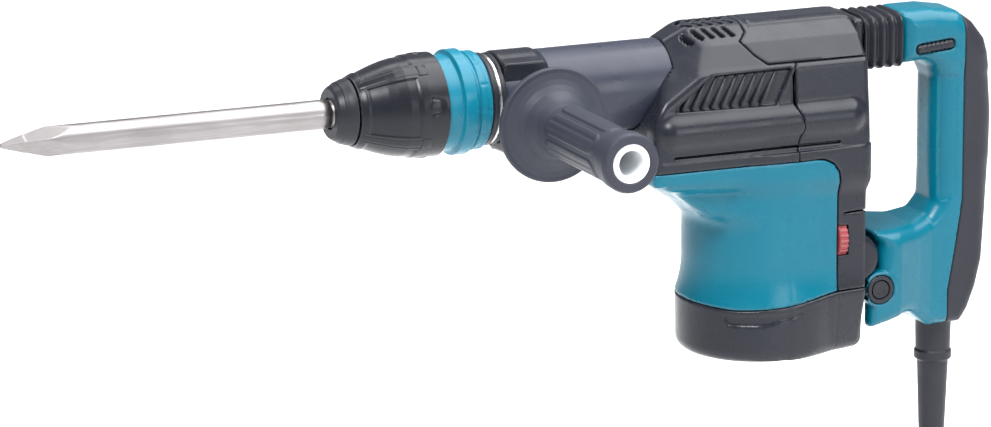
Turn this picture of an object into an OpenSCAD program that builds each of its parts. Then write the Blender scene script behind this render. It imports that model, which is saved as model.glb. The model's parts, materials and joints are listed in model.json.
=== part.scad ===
// Demolition hammer: the striking axis is the X axis, with the chisel towards -X and the
// rear grip's palm face at x = 0. The motor stands under the crank, below the striking axis.

/* [Overall] */
// Length from the chuck nose to the palm face of the rear grip
tool_len = 449; // [370:1:540]
// Depth of the flat base below the striking axis
base_drop = 175; // [145:1:212]
// Wall of the plastic covers
cover_wall = 3; // [2:0.1:3.6]
// Gap along the seams between covers
seam_gap = 0.4; // [0.2:0.05:0.8]
// Gap between a housing and a piece that sits in it
seat_gap = 0.05; // [0.02:0.01:0.1]
// Radial running clearance of shafts in their bores
run_gap = 0.05; // [0.02:0.01:0.1]

/* [Chisel and tool holder] */
// Length of chisel in front of the chuck nose
chisel_out = 210; // [120:1:300]
// Radius of the round chisel body
chisel_r = 9; // [7:0.1:10.8]
// Length of shank inside the tool holder
shank_len = 88; // [74:1:90]
// Length of the ground point
point_len = 40; // [20:1:60]
// Free travel of the chisel in the tool holder
chisel_travel = 18; // [8:1:19]
// Radius of the locking rollers
roller_r = 3; // [2:0.1:3.6]
// Length of the locking rollers
roller_len = 8; // [6:0.5:9]
// Wall of the tool sleeve round the shank
sleeve_wall = 4.2; // [3.8:0.1:5]
// Backward travel of the release cover
release_travel = 6; // [3:0.5:6.5]
// Forward travel of the change ring
change_travel = 3; // [1:0.5:3]

/* [Barrel and side handle] */
// Outer radius of the barrel
barrel_r = 27.5; // [26:0.1:33]
// Wall of the barrel
barrel_wall = 3.5; // [2:0.1:4]
// Radius of the barrel's front seat under the handle collar
seat_r = 24; // [22:0.1:25]
// Distance of the grip axis behind the nose
grip_station = 121; // [119:1:123]
// Drop of the grip axis below the striking axis
grip_drop = 5; // [0:1:8]
// Distance from the striking axis to the grip's free end
grip_reach = 174; // [145:1:210]
// Radius of the side grip
grip_r = 16.5; // [14:0.5:20]
// Radius of the hand guard disc
guard_r = 35.5; // [28:0.5:40]
// Radius of the open bore in the grip's free end
grip_bore_r = 8; // [6.5:0.1:9.6]

/* [Hammer mechanism] */
// Bore radius of the hammer cylinder
bore_r = 15; // [13:0.1:16]
// Wall of the hammer cylinder
cylinder_wall = 4; // [3:0.1:4.5]
// Crank throw
throw = 14; // [11:0.5:15]
// Length of the connecting rod between its centres
rod_len = 46; // [44:0.5:48]
// Gear module
gear_module = 1.25; // [1.05:0.05:1.3]
// Teeth on the motor pinion
pinion_teeth = 9; // [8:1:11]
// Teeth on the crank gear
crank_teeth = 51; // [45:1:53]

/* [Motor] */
// Distance of the motor axis ahead of the palm face
motor_back = 161; // [158:1:165]
// Outer radius of the motor housing
motor_r = 47; // [44:0.5:50]
// Radius of the flared foot of the motor housing
foot_r = 51; // [48:0.5:54]
// Outer radius of the armature core
core_r = 24.8; // [20:0.1:27]
// Air gap between armature and field
air_gap = 0.7; // [0.4:0.05:1.2]
// Height of the end cover that forms the base
end_cover_h = 28; // [26:0.5:32]
// Radius of the speed dial
dial_r = 13; // [12:0.5:14]

/* [Rear handle] */
// Depth of the rear grip, front to back
grip_depth = 45; // [36:1:48]
// Width of the rear grip
grip_w = 38; // [36:1:44]
// Width over the two cheeks of the lower arm
cheek_w = 70; // [66:1:76]
// Height of the handle pivot above the base
pivot_up = 36; // [30:1:40]
// Gap between the rear cover and the handle that the boot bridges
boot_len = 26; // [22:1:29]
// Side travel of the switch lever
switch_travel = 3; // [1:0.5:4]
// Radius of the mains lead
cord_r = 4.5; // [3.5:0.1:5]
// Length of the cord guard below the handle
guard_len = 91; // [70:1:110]

/* [Hidden] */
$fn = 64;
eps = 0.02;
big = 400;
teal = [0.10, 0.50, 0.60];
dark = [0.25, 0.25, 0.28];
black = [0.10, 0.10, 0.11];
grey = [0.42, 0.43, 0.46];
steel = [0.75, 0.74, 0.73];
alloy = [0.62, 0.63, 0.65];
copper = [0.78, 0.45, 0.25];
red = [0.75, 0.30, 0.32];
white = [0.92, 0.92, 0.93];

nose_x = -tool_len;
function st(d) = nose_x + d;
base_z = -base_drop;
motor_x = -motor_back;
rear_x = -104;
spine_x = -125.5;
mid_x = -153;
split_z = base_z + end_cover_h;
deck_z = -48;

// tool holder stations behind the nose
sleeve_r = chisel_r + sleeve_wall;
sleeve_back_r = 17;
flange_front = 76;
flange_back = 80;
sleeve_end = 112;
bolt_step = 92;
roller_start = 50.5;
roller_pos = chisel_r + 1;
hub_r = sleeve_r + 0.3;
key_w = 4;
key_in = 2.6;
key_end = 81;
relief_at = 2;
relief_depth = 0.5;

// barrel stations behind the nose, and its back end at the gear case
barrel_start = 96;
collar_start = 107;
collar_end = 135;
barrel_end = -231;
cyl_r = bore_r + cylinder_wall;
cyl_start = st(114);
cyl_end = -223;
liner_slot_x = cyl_end - 9;
case_slot_x = cyl_end - 3;

// crank train
mesh_gap = 0.15;
centres = gear_module * (pinion_teeth + crank_teeth) / 2 + mesh_gap;
crank_x = motor_x - centres;
gear_pitch_r = gear_module * crank_teeth / 2;
gear_z0 = deck_z;
gear_z1 = -36;
bearing_z1 = -51;
disc_r = throw + 7.5;
rod_half = 6;
pin_r = 6.5;
pin_gap = 0.4;
wrist_x = crank_x - throw - rod_len;
wrist_r = 5;
piston_front = wrist_x - 24;
piston_back = wrist_x + 10;
striker_x0 = st(126);
striker_x1 = piston_front - 8;
bolt_x0 = st(shank_len) + 0.3;
bolt_r = sleeve_back_r - 4.7;
absorber_mid = (st(137) + barrel_end) / 2;
absorber_half = 12;
absorber_r = barrel_r - barrel_wall - 0.4;

// motor heights
dial_x = -121.3;
dial_z = base_z + 72.5;
dial_half = 3;
stator_top = -90;
stator_bottom = base_z + 43;
stator_in = core_r + air_gap;
stator_r = motor_r - cover_wall - 0.1;
stator_flat = dial_x - dial_half - motor_x - 0.6;
comm_top = base_z + 34;
comm_bottom = base_z + 21;
comm_r = 14;
low_bearing_z = base_z + 6;
base_screw_xy = [[-26, -27], [-26, 27], [30, -22], [30, 22]];
dial_y = -(44.4 - dial_r);

// rear handle
pivot_x = -91;
pivot_z = base_z + pivot_up;
arm_top = pivot_z + 36;
arm_half = cheek_w / 2;
boss_r = 11.4;
bush_r = 9.3;
bolt_shank_r = 4;
lug_half = 25.4;
bulge_x = -108;
bulge_z = pivot_z + 21;
bulge_r = 16;
handle_x = rear_x + 8 + boot_len;
handle_bottom = base_z + 4;
grip_front = -grip_depth;
// screws between the two handle halves: height, and where the halves meet
handle_screw_zx = [[-15, -26], [-70, -26], [arm_top - 34, -33.4]];
guard_x = -35.5;
guard_top = handle_bottom;
guard_end = guard_top - guard_len;
hand_wall = 3.5;
lever_x = -47;
lever_z = 9.7;

// mains lead: two hanging stretches whose points are chosen by hand, and the tied coil between
cord_lead = [[-35.5, 0, -262], [-35.5, 0, -275], [-35.5, -1.5, -290], [-35.5, -4.9, -305],
             [-35.5, -9.1, -320], [-35.5, -12.5, -335], [-35.5, -14, -350], [-35.5, -14, -368]];
cord_tail = [[-54.4, 23.3, -395], [-54.4, 23.3, -410], [-54.4, 23.3, -425], [-54.4, 23.3, -440],
             [-54.4, 23.3, -455], [-54.4, 23.3, -470]];
coil_x = -99;
coil_z = -395;
coil_mid_r = 54;
coil_half = 14;
coil_half_w = 18.5;
tie_half = 7;
plug_x = -54.4;
plug_y = 23.3;
plug_top = -470;
plug_len = 38;
plug_pin_r = 2.4;
plug_pin_len = 19;
plug_root_r = 2.1;
plug_root_len = 1;
plug_pitch = 19;

// ---- shared shapes ----

module rod_x(x0, x1, r) {
  translate([x0, 0, 0]) rotate([0, 90, 0]) cylinder(h = x1 - x0, r = r);
}

module tube_x(x0, x1, r_out, r_in) {
  difference() {
    rod_x(x0, x1, r_out);
    rod_x(x0 - 1, x1 + 1, r_in);
  }
}

module tube_z(x, z0, z1, r_out, r_in) {
  translate([x, 0, z0]) difference() {
    cylinder(h = z1 - z0, r = r_out);
    translate([0, 0, -1]) cylinder(h = z1 - z0 + 2, r = r_in);
  }
}

// a shape turned about the X axis from points of station and radius
module turned_x(points) {
  translate([nose_x, 0, 0]) rotate([0, 90, 0]) rotate_extrude()
    polygon([for (p = points) [p[1], p[0]]]);
}

// a side outline of x and z points, extruded to both sides of y = 0
module side_slab(half) {
  translate([0, half, 0]) rotate([90, 0, 0]) linear_extrude(2 * half) children();
}

module box(x0, x1, y0, y1, z0, z1) {
  translate([x0, y0, z0]) cube([x1 - x0, y1 - y0, z1 - z0]);
}

// a round section swept along a list of points, with a ring at each point
module swept(points, r, sides, across) {
  n = len(points);
  rings = [for (i = [0:n - 1])
    let (a = points[max(i - 1, 0)], b = points[min(i + 1, n - 1)],
         t = (b - a) / norm(b - a), u0 = cross(t, across), u = u0 / norm(u0), v = cross(t, u))
    for (k = [0:sides - 1]) points[i] + r * (cos(360 * k / sides) * u + sin(360 * k / sides) * v)];
  walls = [for (i = [0:n - 2], k = [0:sides - 1])
    let (m = (k + 1) % sides) [i * sides + k, i * sides + m, (i + 1) * sides + m, (i + 1) * sides + k]];
  ends = [[for (k = [0:sides - 1]) sides - 1 - k], [for (k = [0:sides - 1]) (n - 1) * sides + k]];
  polyhedron(rings, concat(walls, ends));
}

// a coil spring along X
module spring_x(x0, x1, mid_r, wire_r, turns) {
  steps = 14;
  swept([for (i = [0:turns * steps])
    let (a = 360 * i / steps, f = i / (turns * steps))
    [x0 + wire_r + f * (x1 - x0 - 2 * wire_r), mid_r * cos(a), mid_r * sin(a)]],
    wire_r, 8, [1, 0, 0]);
}

// ---- chisel and tool holder ----

module point_wedge() {
  side_slab(chisel_r + 1) polygon([[st(-chisel_out), -0.8], [st(point_len - chisel_out), -chisel_r - 0.3],
    [st(shank_len), -chisel_r - 0.3], [st(shank_len), chisel_r + 0.3],
    [st(point_len - chisel_out), chisel_r + 0.3], [st(-chisel_out), 0.8]]);
}

module shank_grooves() {
  groove_len = roller_len + chisel_travel + 1.5;
  for (s = [-1, 1]) {
    translate([0, 0, s * roller_pos]) rod_x(st(roller_start - 0.5), st(roller_start - 0.5 + groove_len),
      roller_r + 0.3);
    box(st(30), st(shank_len + 1), s > 0 ? chisel_r - key_in - 0.3 : -chisel_r - 1,
      s > 0 ? chisel_r + 1 : -chisel_r + key_in + 0.3, -key_w / 2 - 0.2, key_w / 2 + 0.2);
  }
}

module chisel() {
  color(steel) intersection() {
    difference() {
      union() {
        rod_x(st(-chisel_out), st(-relief_at), chisel_r);
        rod_x(st(-relief_at), st(0.5), chisel_r - relief_depth);
        rod_x(st(0.5), st(shank_len), chisel_r - run_gap);
      }
      shank_grooves();
    }
    point_wedge();
    rotate([90, 0, 0]) point_wedge();
  }
}

module tool_sleeve() {
  color(steel) {
    difference() {
      turned_x([[4, chisel_r], [bolt_step, chisel_r], [bolt_step, bolt_r], [sleeve_end, bolt_r],
        [sleeve_end, sleeve_back_r], [flange_back, sleeve_back_r], [flange_back, 22],
        [flange_front, 22], [flange_front, sleeve_r], [4, sleeve_r]]);
      for (s = [-1, 1]) translate([0, 0, s * roller_pos])
        rod_x(st(roller_start - 0.2), st(roller_start + roller_len + 0.2), roller_r + 0.15);
    }
    for (s = [-1, 1]) box(st(34), st(key_end), s > 0 ? chisel_r - key_in : -chisel_r - 1,
      s > 0 ? chisel_r + 1 : -chisel_r + key_in, -key_w / 2, key_w / 2);
  }
}

module locking_rollers() {
  color(steel) for (s = [-1, 1]) translate([0, 0, s * roller_pos])
    rod_x(st(roller_start), st(roller_start + roller_len), roller_r);
}

module dust_cap() {
  color(black) turned_x([[0, chisel_r + 0.6], [3.7, chisel_r + 0.6], [3.7, sleeve_r + seat_gap],
    [12, sleeve_r + seat_gap], [12, 20.6], [10, 20.2], [5, 18.4], [1.5, 16.6], [0, 15.4]]);
}

module release_spring() {
  color(steel) spring_x(st(52.4), st(flange_front - 0.4), 19.6, 0.8, 5);
}

module release_cover() {
  color(dark) difference() {
    turned_x([[13, 21.6], [18, 23.7], [24, 25.8], [30, 27.9], [36, 29.5], [42, 31], [54, 31.8],
      [67, 32.1], [67, 30.2], [52, 29.8], [52, hub_r + 3.4], [60, hub_r + 3.4], [60, hub_r],
      [46, hub_r], [46, 29], [36, 27], [30, 25.4], [24, 23.3], [13, 19.2]]);
    for (a = [22.5:45:337.5]) rotate([a, 0, 0]) rotate([0, -19, 0])
      translate([st(19), -7, 18.5]) cube([28, 14, 6]);
  }
}

module change_ring() {
  color(teal) turned_x([[67, 29.4], [76.5, 29.6], [77.5, 32.6], [85, 32.6], [86.5, 29.6],
    [88, 30.6], [95, 30.4], [95.7, 29.6], [95.7, 26.5], [88, 26.5], [88, sleeve_back_r + 0.3],
    [84, sleeve_back_r + 0.3], [84, 26.5], [67, 26.5]]);
}

module ring_spring() {
  color(steel) spring_x(st(88.3), st(barrel_start - 0.3), 20.5, 0.6, 3);
}

// ---- barrel and side handle ----

module neck_seal_rings() {
  color(black) {
    tube_x(st(96.3), st(101), 28.4, seat_r + seat_gap);
    tube_x(st(103.2), st(106.6), 28, seat_r + seat_gap);
  }
}

module neck_steel_ring() {
  color(steel) tube_x(st(101.1), st(103.1), 28, seat_r + seat_gap);
}

module barrel_housing() {
  barrel_back = barrel_end - nose_x;
  color(alloy) turned_x([[barrel_start, sleeve_back_r + run_gap],
    [sleeve_end + 0.5, sleeve_back_r + run_gap], [sleeve_end + 0.5, cyl_r + seat_gap],
    [137, cyl_r + seat_gap], [137, barrel_r - barrel_wall], [barrel_back, barrel_r - barrel_wall],
    [barrel_back, barrel_r], [collar_end + 0.5, barrel_r], [collar_end + 0.5, seat_r],
    [barrel_start, seat_r]]);
}

module grip_place() {
  translate([st(grip_station), 0, -grip_drop]) rotate([90, 0, 0]) children();
}

module clamp_collar() {
  color(dark) difference() {
    translate([st(collar_start), 0, 0]) rotate([90, 0, 90]) linear_extrude(collar_end - collar_start)
      union() {
        circle(seat_r + 5);
        polygon([[0, seat_r + 4.9], [-44, 20], [-51, 17], [-51, -27], [-44, -30], [0, -seat_r - 8]]);
        polygon([[0, -seat_r - 8], [14, -seat_r - 6], [22, -20], [0, -10]]);
      }
    rod_x(st(collar_start - 1), st(collar_end + 1), seat_r + run_gap);
    grip_place() translate([0, 0, seat_r - 1]) cylinder(h = 40, r = 5 + run_gap);
    box(st(collar_start - 1), st(collar_end + 1), -60, -seat_r + 2, -grip_drop - 1, -grip_drop + 1);
  }
}

module clamp_bolt() {
  color(steel) grip_place() {
    translate([0, 0, seat_r + 2]) cylinder(h = 70, r = 5);
  }
}

module side_grip_core() {
  floor_y = grip_reach - 64;
  color(white) grip_place() difference() {
    union() {
      translate([0, 0, 51.4]) cylinder(h = 5, r = 20);
      translate([0, 0, 51.4]) cylinder(h = grip_reach - 51.4, r = 12);
    }
    translate([0, 0, floor_y]) cylinder(h = 80, r = grip_bore_r);
    translate([0, 0, 50]) cylinder(h = floor_y, r = 5 + run_gap);
  }
}

module side_grip_rubber() {
  in_r = 12 + seat_gap;
  color(dark) grip_place() rotate_extrude() polygon([[in_r, 56.6], [guard_r - 6, 57], [guard_r, 59],
    [guard_r, 63], [guard_r - 2, 64], [26, 65.5], [21, 69], [grip_r + 1, 75], [grip_r - 0.5, 84],
    [grip_r, 120], [grip_r - 0.3, grip_reach - 16], [grip_r + 1.6, grip_reach - 12],
    [grip_r + 2, grip_reach - 3], [grip_r + 0.5, grip_reach], [in_r, grip_reach]]);
}

// ---- hammer mechanism ----

module impact_bolt() {
  color(steel) {
    rod_x(bolt_x0, st(98.2), chisel_r - 0.5);
    rod_x(st(98), st(108), bolt_r - run_gap);
    rod_x(st(107.8), st(124), 8);
  }
}

module cylinder_liner() {
  color(alloy) difference() {
    rod_x(cyl_start, cyl_end, cyl_r);
    rod_x(cyl_start + 4, cyl_end + 1, bore_r);
    rod_x(cyl_start - 1, cyl_start + 5, 8.6);
    rod_clearance(liner_slot_x);
  }
}

// room for the rod and its big end at full swing
module rod_clearance(x_start) {
  box(x_start, crank_x, -26, 26, -rod_half - 0.5, rod_half + 0.5);
}

module striker() {
  color(steel) difference() {
    union() {
      rod_x(striker_x0, striker_x0 + 10.2, bore_r - 4);
      rod_x(striker_x0 + 10, striker_x1, bore_r - run_gap);
    }
    tube_x(striker_x1 - 8, striker_x1 - 5, bore_r + 1, bore_r - 1.5);
  }
}

module piston() {
  color(alloy) difference() {
    rod_x(piston_front, piston_back, bore_r - run_gap);
    tube_x(piston_front + 4, piston_front + 7, bore_r + 1, bore_r - 1.5);
    box(wrist_x - 9, piston_back + 1, -20, 20, -rod_half - 0.5, rod_half + 0.5);
    translate([wrist_x, 0, -20]) cylinder(h = 40, r = wrist_r + seat_gap);
  }
}

module piston_pin() {
  color(steel) translate([wrist_x, 0, -11]) cylinder(h = 22, r = wrist_r);
}

module connecting_rod() {
  color(steel) difference() {
    union() {
      translate([wrist_x, 0, -rod_half]) cylinder(h = 2 * rod_half, r = 8);
      translate([wrist_x + rod_len, 0, -rod_half]) cylinder(h = 2 * rod_half, r = 10.5);
      box(wrist_x, wrist_x + rod_len, -5, 5, -rod_half + 1, rod_half - 1);
    }
    translate([wrist_x, 0, -10]) cylinder(h = 20, r = wrist_r + run_gap);
    translate([wrist_x + rod_len, 0, -10]) cylinder(h = 20, r = pin_r + run_gap);
  }
}

module absorber_weight() {
  color(steel) tube_x(absorber_mid - absorber_half, absorber_mid + absorber_half, absorber_r,
    cyl_r + run_gap);
}

module absorber_springs() {
  mid_r = (cyl_r + barrel_r - barrel_wall) / 2;
  color(steel) {
    spring_x(st(137.3), absorber_mid - absorber_half - 0.3, mid_r, 0.9, 4);
    spring_x(absorber_mid + absorber_half + 0.3, barrel_end - 0.3, mid_r, 0.9, 4);
  }
}

module gear_case() {
  cup_r = gear_pitch_r + 2;
  wall = 2.6;
  color(alloy) difference() {
    intersection() {
      union() {
        translate([crank_x, 0, -60]) cylinder(h = 39, r = cup_r + wall);
        box(crank_x, motor_x + 18, -22, 22, -60, bearing_z1);
        translate([motor_x, 0, -60]) cylinder(h = 60 + bearing_z1, r = 18);
        box(barrel_end + 0.5, barrel_end + 9, -22, 22, -24, 12);
      }
      union() {
        nose_form(cover_wall + seam_gap);
        box(-260, 0, -60, 60, deck_z - 0.1, 60);
        translate([motor_x, 0, -70]) cylinder(h = 30, r = motor_r - cover_wall - seam_gap);
      }
    }
    rod_x(-260, barrel_end + 0.3, barrel_r + seat_gap);
    translate([crank_x, 0, bearing_z1]) cylinder(h = -33 - bearing_z1, r = cup_r);
    translate([motor_x, 0, bearing_z1]) cylinder(h = 40, r = 10);
    translate([crank_x, 0, -61]) cylinder(h = 20, r = 14 + seat_gap);
    translate([motor_x, 0, -61]) cylinder(h = 20, r = 14 + seat_gap);
    translate([crank_x, 0, -40]) cylinder(h = 40, r = 17 + seat_gap);
    rod_x(barrel_end - 1, barrel_end + 12, cyl_r + seat_gap);
    translate([crank_x, 0, -21]) cylinder(h = 60, r = disc_r + 0.4);
    rod_clearance(case_slot_x);
  }
}

module crank_bearings() {
  color(steel) {
    tube_z(crank_x, -60, -52, 14, 6 + run_gap);
    tube_z(crank_x, -32.6, -22.6, 17, 8 + run_gap);
  }
}

// half the angle that a tooth covers at radius r, from the involute of the base circle
function inv(a) = tan(a) * 180 / PI - a;
function tooth_half(r, pitch_r, teeth, slack) =
  let (base_r = pitch_r * cos(25), a = r > base_r ? acos(base_r / r) : 0)
  90 / teeth + inv(25) - inv(a) - slack / pitch_r * 90 / PI;

module gear_profile(teeth, addendum, slack) {
  pitch_r = gear_module * teeth / 2;
  root_r = pitch_r - 1.3 * gear_module;
  tip_r = pitch_r + addendum * gear_module;
  rs = [root_r, pitch_r - 0.5 * gear_module, pitch_r, (pitch_r + tip_r) / 2, tip_r];
  polygon([for (k = [0:teeth - 1])
    let (c = 360 * k / teeth)
    each concat([for (r = rs) let (a = c - tooth_half(r, pitch_r, teeth, slack)) r * [cos(a), sin(a)]],
      [for (i = [4:-1:0]) let (r = rs[i], a = c + tooth_half(r, pitch_r, teeth, slack))
        r * [cos(a), sin(a)]])]);
}

module crank_gear() {
  color(steel) translate([crank_x, 0, gear_z0]) difference() {
    linear_extrude(gear_z1 - gear_z0) rotate(180 / crank_teeth)
      gear_profile(crank_teeth, 0.75, 0.35);
    translate([0, 0, -1]) cylinder(h = 30, r = 8 + seat_gap);
  }
}

module crank_shaft() {
  color(steel) translate([crank_x, 0, 0]) {
    translate([0, 0, -60]) cylinder(h = 9.5, r = 6);
    translate([0, 0, -50.7]) cylinder(h = 30, r = 8);
    translate([0, 0, -20.9]) cylinder(h = 12.9, r = disc_r);
    translate([-throw, 0, -8.1]) cylinder(h = 8.1 - rod_half - pin_gap, r = pin_r);
  }
}

// ---- motor ----

module armature_shaft() {
  color(steel) translate([motor_x, 0, 0]) {
    translate([0, 0, bearing_z1]) linear_extrude(gear_z1 + 1 - bearing_z1)
      rotate(pinion_teeth % 2 == 1 ? 0 : 180 / pinion_teeth)
      rotate(180) gear_profile(pinion_teeth, 0.9, 0.35);
    translate([0, 0, -63]) cylinder(h = 63.3 + bearing_z1, r = 6);
    translate([0, 0, low_bearing_z + 8]) cylinder(h = -62.8 - low_bearing_z - 8, r = 5);
    translate([0, 0, low_bearing_z - 1]) cylinder(h = 9.1, r = 4);
  }
}

module armature_core() {
  color(grey) difference() {
    tube_z(motor_x, stator_bottom + 1, stator_top - 1, core_r, 5 + seat_gap);
    for (a = [0:30:330]) translate([motor_x, 0, stator_bottom]) rotate(a)
      translate([core_r - 3, -0.8, 0]) cube([4, 1.6, stator_top - stator_bottom]);
  }
}

module commutator() {
  color(copper) tube_z(motor_x, comm_bottom, comm_top, comm_r, 5 + seat_gap);
}

module fan() {
  color(black) translate([motor_x, 0, 0]) difference() {
    union() {
      translate([0, 0, -68]) cylinder(h = 2.5, r = 38);
      translate([0, 0, -82]) cylinder(h = 15, r = 10);
      for (a = [0:30:330]) rotate(a) translate([20, -0.9, -80]) cube([17, 1.8, 13]);
    }
    translate([0, 0, -90]) cylinder(h = 30, r = 5 + seat_gap);
  }
}

module armature_bearings() {
  color(steel) {
    tube_z(motor_x, -60, -52, 14, 6 + run_gap);
    tube_z(motor_x, low_bearing_z, low_bearing_z + 7.8, 11, 4 + run_gap);
  }
}

module field_stator() {
  color(grey) intersection() {
    tube_z(motor_x, stator_bottom, stator_top, stator_r, stator_in);
    box(motor_x - stator_flat, motor_x + stator_flat, -60, 60, -150, -70);
  }
}

module field_coils() {
  color(copper) {
    tube_z(motor_x, stator_top + 0.1, stator_top + 6, 38, stator_in + 2);
    tube_z(motor_x, stator_bottom - 6, stator_bottom - 0.1, 38, stator_in + 2);
  }
}

module brush_holders() {
  mid = (comm_top + comm_bottom) / 2;
  color(grey) for (s = [-1, 1]) translate([motor_x, s * 27, mid]) difference() {
    cube([12, 20, 10], center = true);
    cube([8.4, 22, 6.4], center = true);
  }
}

module carbon_brushes() {
  mid = (comm_top + comm_bottom) / 2;
  color(black) for (s = [-1, 1]) translate([motor_x, s * (comm_r + 9.3), mid])
    cube([8, 18, 6], center = true);
}

module speed_control_unit() {
  color(black) box(-120, -109, -22, 22, dial_z + 16, dial_z + 44);
}

module speed_dial() {
  color(red) translate([dial_x, dial_y, dial_z]) difference() {
    rod_x(-dial_half, dial_half, dial_r);
    for (a = [0:20:340]) rotate([a, 0, 0]) box(-dial_half - 1, dial_half + 1, -0.7, 0.7,
      dial_r - 0.8, dial_r + 1);
    rod_x(-dial_half - 1, dial_half + 1, 2);
  }
}

// ---- housing ----

// outlines of the upper housing: seen from the side, and across the striking axis
function upper_side() = [[-252, deck_z], [-252, -30], [-249, -13], [-245, -5], [-238, 8.5],
  [-233, 26.5], [-219, 33.6], [-212, 36.5], [rear_x, 36.5], [rear_x, deck_z]];
function upper_half() = [[9, 36.5], [27, 25.5], [36, 13], [40, 10], [42, -10], [47, -15],
  [49, -22], [48, -29], [45, -36], [45, deck_z]];

module upper_form(inset) {
  intersection() {
    side_slab(60) offset(delta = -inset) polygon(concat(upper_side(),
      [[rear_x, deck_z - 20], [-252, deck_z - 20]]));
    translate([-260, 0, 0]) rotate([90, 0, 90]) linear_extrude(170) offset(delta = -inset)
      polygon(concat(upper_half(), [[45, deck_z - 20], [-45, deck_z - 20]],
        [for (i = [len(upper_half()) - 1:-1:0]) [-upper_half()[i][0], upper_half()[i][1]]]));
  }
}

module upper_shell() {
  difference() {
    upper_form(0);
    upper_form(cover_wall);
    box(-260, 0, -60, 60, -90, deck_z);
  }
}

module top_region(grow) {
  side_slab(70) offset(delta = grow) polygon([[-188, 60], [-188, 27], [-172, 12.5],
    [rear_x + 5, 12.5], [rear_x + 5, 60]]);
}

module rear_region(grow) {
  box(mid_x - grow, rear_x + 5, -70, 70, -90, 12.5);
}

module vent_slots() {
  for (s = [-1, 1], i = [0:8]) translate([-231 + 7.4 * i, s * 41, 0]) rotate([0, 25, 0])
    cube([3, 14, 17], center = true);
  for (row = [0, 1], i = [0:4]) for (s = [-1, 1])
    translate([-214 + 7 * i - 4 * row, s * (5 + 11 * row), 33 - 6 * row])
    rotate([0, 0, -s * 30]) cube([2.6, 7, 20], center = true);
}

module main_cover() {
  color(dark) difference() {
    upper_shell();
    top_region(seam_gap);
    rear_region(seam_gap);
    rod_x(-260, -200, barrel_r + 0.3);
    vent_slots();
  }
}

module top_cover() {
  color(dark) intersection() {
    upper_shell();
    top_region(0);
  }
}

// outline of the motor stage seen from above
module motor_plan(r, rear_half, inset) {
  translate([motor_x, 0]) circle(r - inset);
  polygon([[motor_x, r - inset], [rear_x - inset, rear_half - inset],
    [rear_x - inset, -rear_half + inset], [motor_x, -r + inset]]);
}

module lug() {
  difference() {
    union() {
      side_slab(lug_half) {
        translate([pivot_x, pivot_z]) circle(12);
        polygon([[rear_x - 4, pivot_z + 12], [pivot_x, pivot_z + 12], [pivot_x, pivot_z - 12],
          [rear_x - 4, pivot_z - 7]]);
      }
      side_slab(arm_half) translate([bulge_x, bulge_z]) circle(bulge_r);
    }
    box(-150, rear_x - cover_wall, -60, 60, pivot_z - 40, pivot_z + 60);
    for (s = [-1, 1]) translate([pivot_x, s * (lug_half + 25), pivot_z]) rotate([90, 0, 0])
      cylinder(h = 50, r = boss_r + 1.2, center = true);
    translate([pivot_x, 60, pivot_z]) rotate([90, 0, 0]) cylinder(h = 120, r = 3 + seat_gap);
  }
}

module rear_cover() {
  color(dark) {
    difference() {
      union() {
        intersection() {
          upper_shell();
          rear_region(0);
          box(-200, 0, -60, 60, deck_z, 12.5 - seam_gap);
        }
        difference() {
          translate([0, 0, split_z + seam_gap]) linear_extrude(deck_z - split_z - seam_gap)
            motor_plan(motor_r, 41, 0);
          translate([0, 0, split_z - 1]) linear_extrude(-split_z) motor_plan(motor_r, 41, cover_wall);
          box(-300, spine_x, -80, 80, -300, 0);
        }
        rear_collar();
      }
      translate([dial_x, dial_y, dial_z]) rod_x(-dial_half - 0.6, dial_half + 0.6, dial_r + 0.5);
      for (s = [-1, 1]) translate([pivot_x, s * (lug_half + 25), pivot_z]) rotate([90, 0, 0])
        cylinder(h = 50, r = boss_r + 1.2, center = true);
    }
    lug();
  }
}

module rear_collar() {
  difference() {
    translate([rear_x - 1, 0, 15]) rotate([90, 0, 90]) linear_extrude(9) difference() {
      square([38, 34], center = true);
      square([26, 24], center = true);
    }
    box(rear_x - 2, rear_x + seam_gap, -60, 60, 12.5 - seam_gap, 60);
  }
}

// side outline of the teal motor housing's front: crank nose above, motor barrel below
module nose_form(inset) {
  side_slab(38 - inset) offset(delta = -inset) polygon([[-252, deck_z + 20], [-252, deck_z - 4],
    [-247, deck_z - 9], [-234, -63], [-222, -73], [-209, -82], [-190, -82], [-190, deck_z + 20]]);
}

module motor_housing() {
  flare_z = split_z + 25;
  color(teal) difference() {
    union() {
      translate([0, 0, split_z]) linear_extrude(deck_z - seam_gap - split_z)
        motor_plan(motor_r, 41, 0);
      translate([motor_x, 0, 0]) rotate_extrude() polygon([[0, split_z], [foot_r, split_z],
        [foot_r, split_z + 9], [motor_r, flare_z], [0, flare_z]]);
      nose_form(0);
    }
    translate([0, 0, split_z - 1]) linear_extrude(-split_z) motor_plan(motor_r, 41, cover_wall);
    nose_form(cover_wall);
    box(-300, 0, -80, 80, deck_z - seam_gap, 0);
    box(spine_x - seam_gap, 0, -80, 80, -300, 0);
  }
}

module end_plan(inset) {
  motor_plan(foot_r, 34, inset);
}

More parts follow.
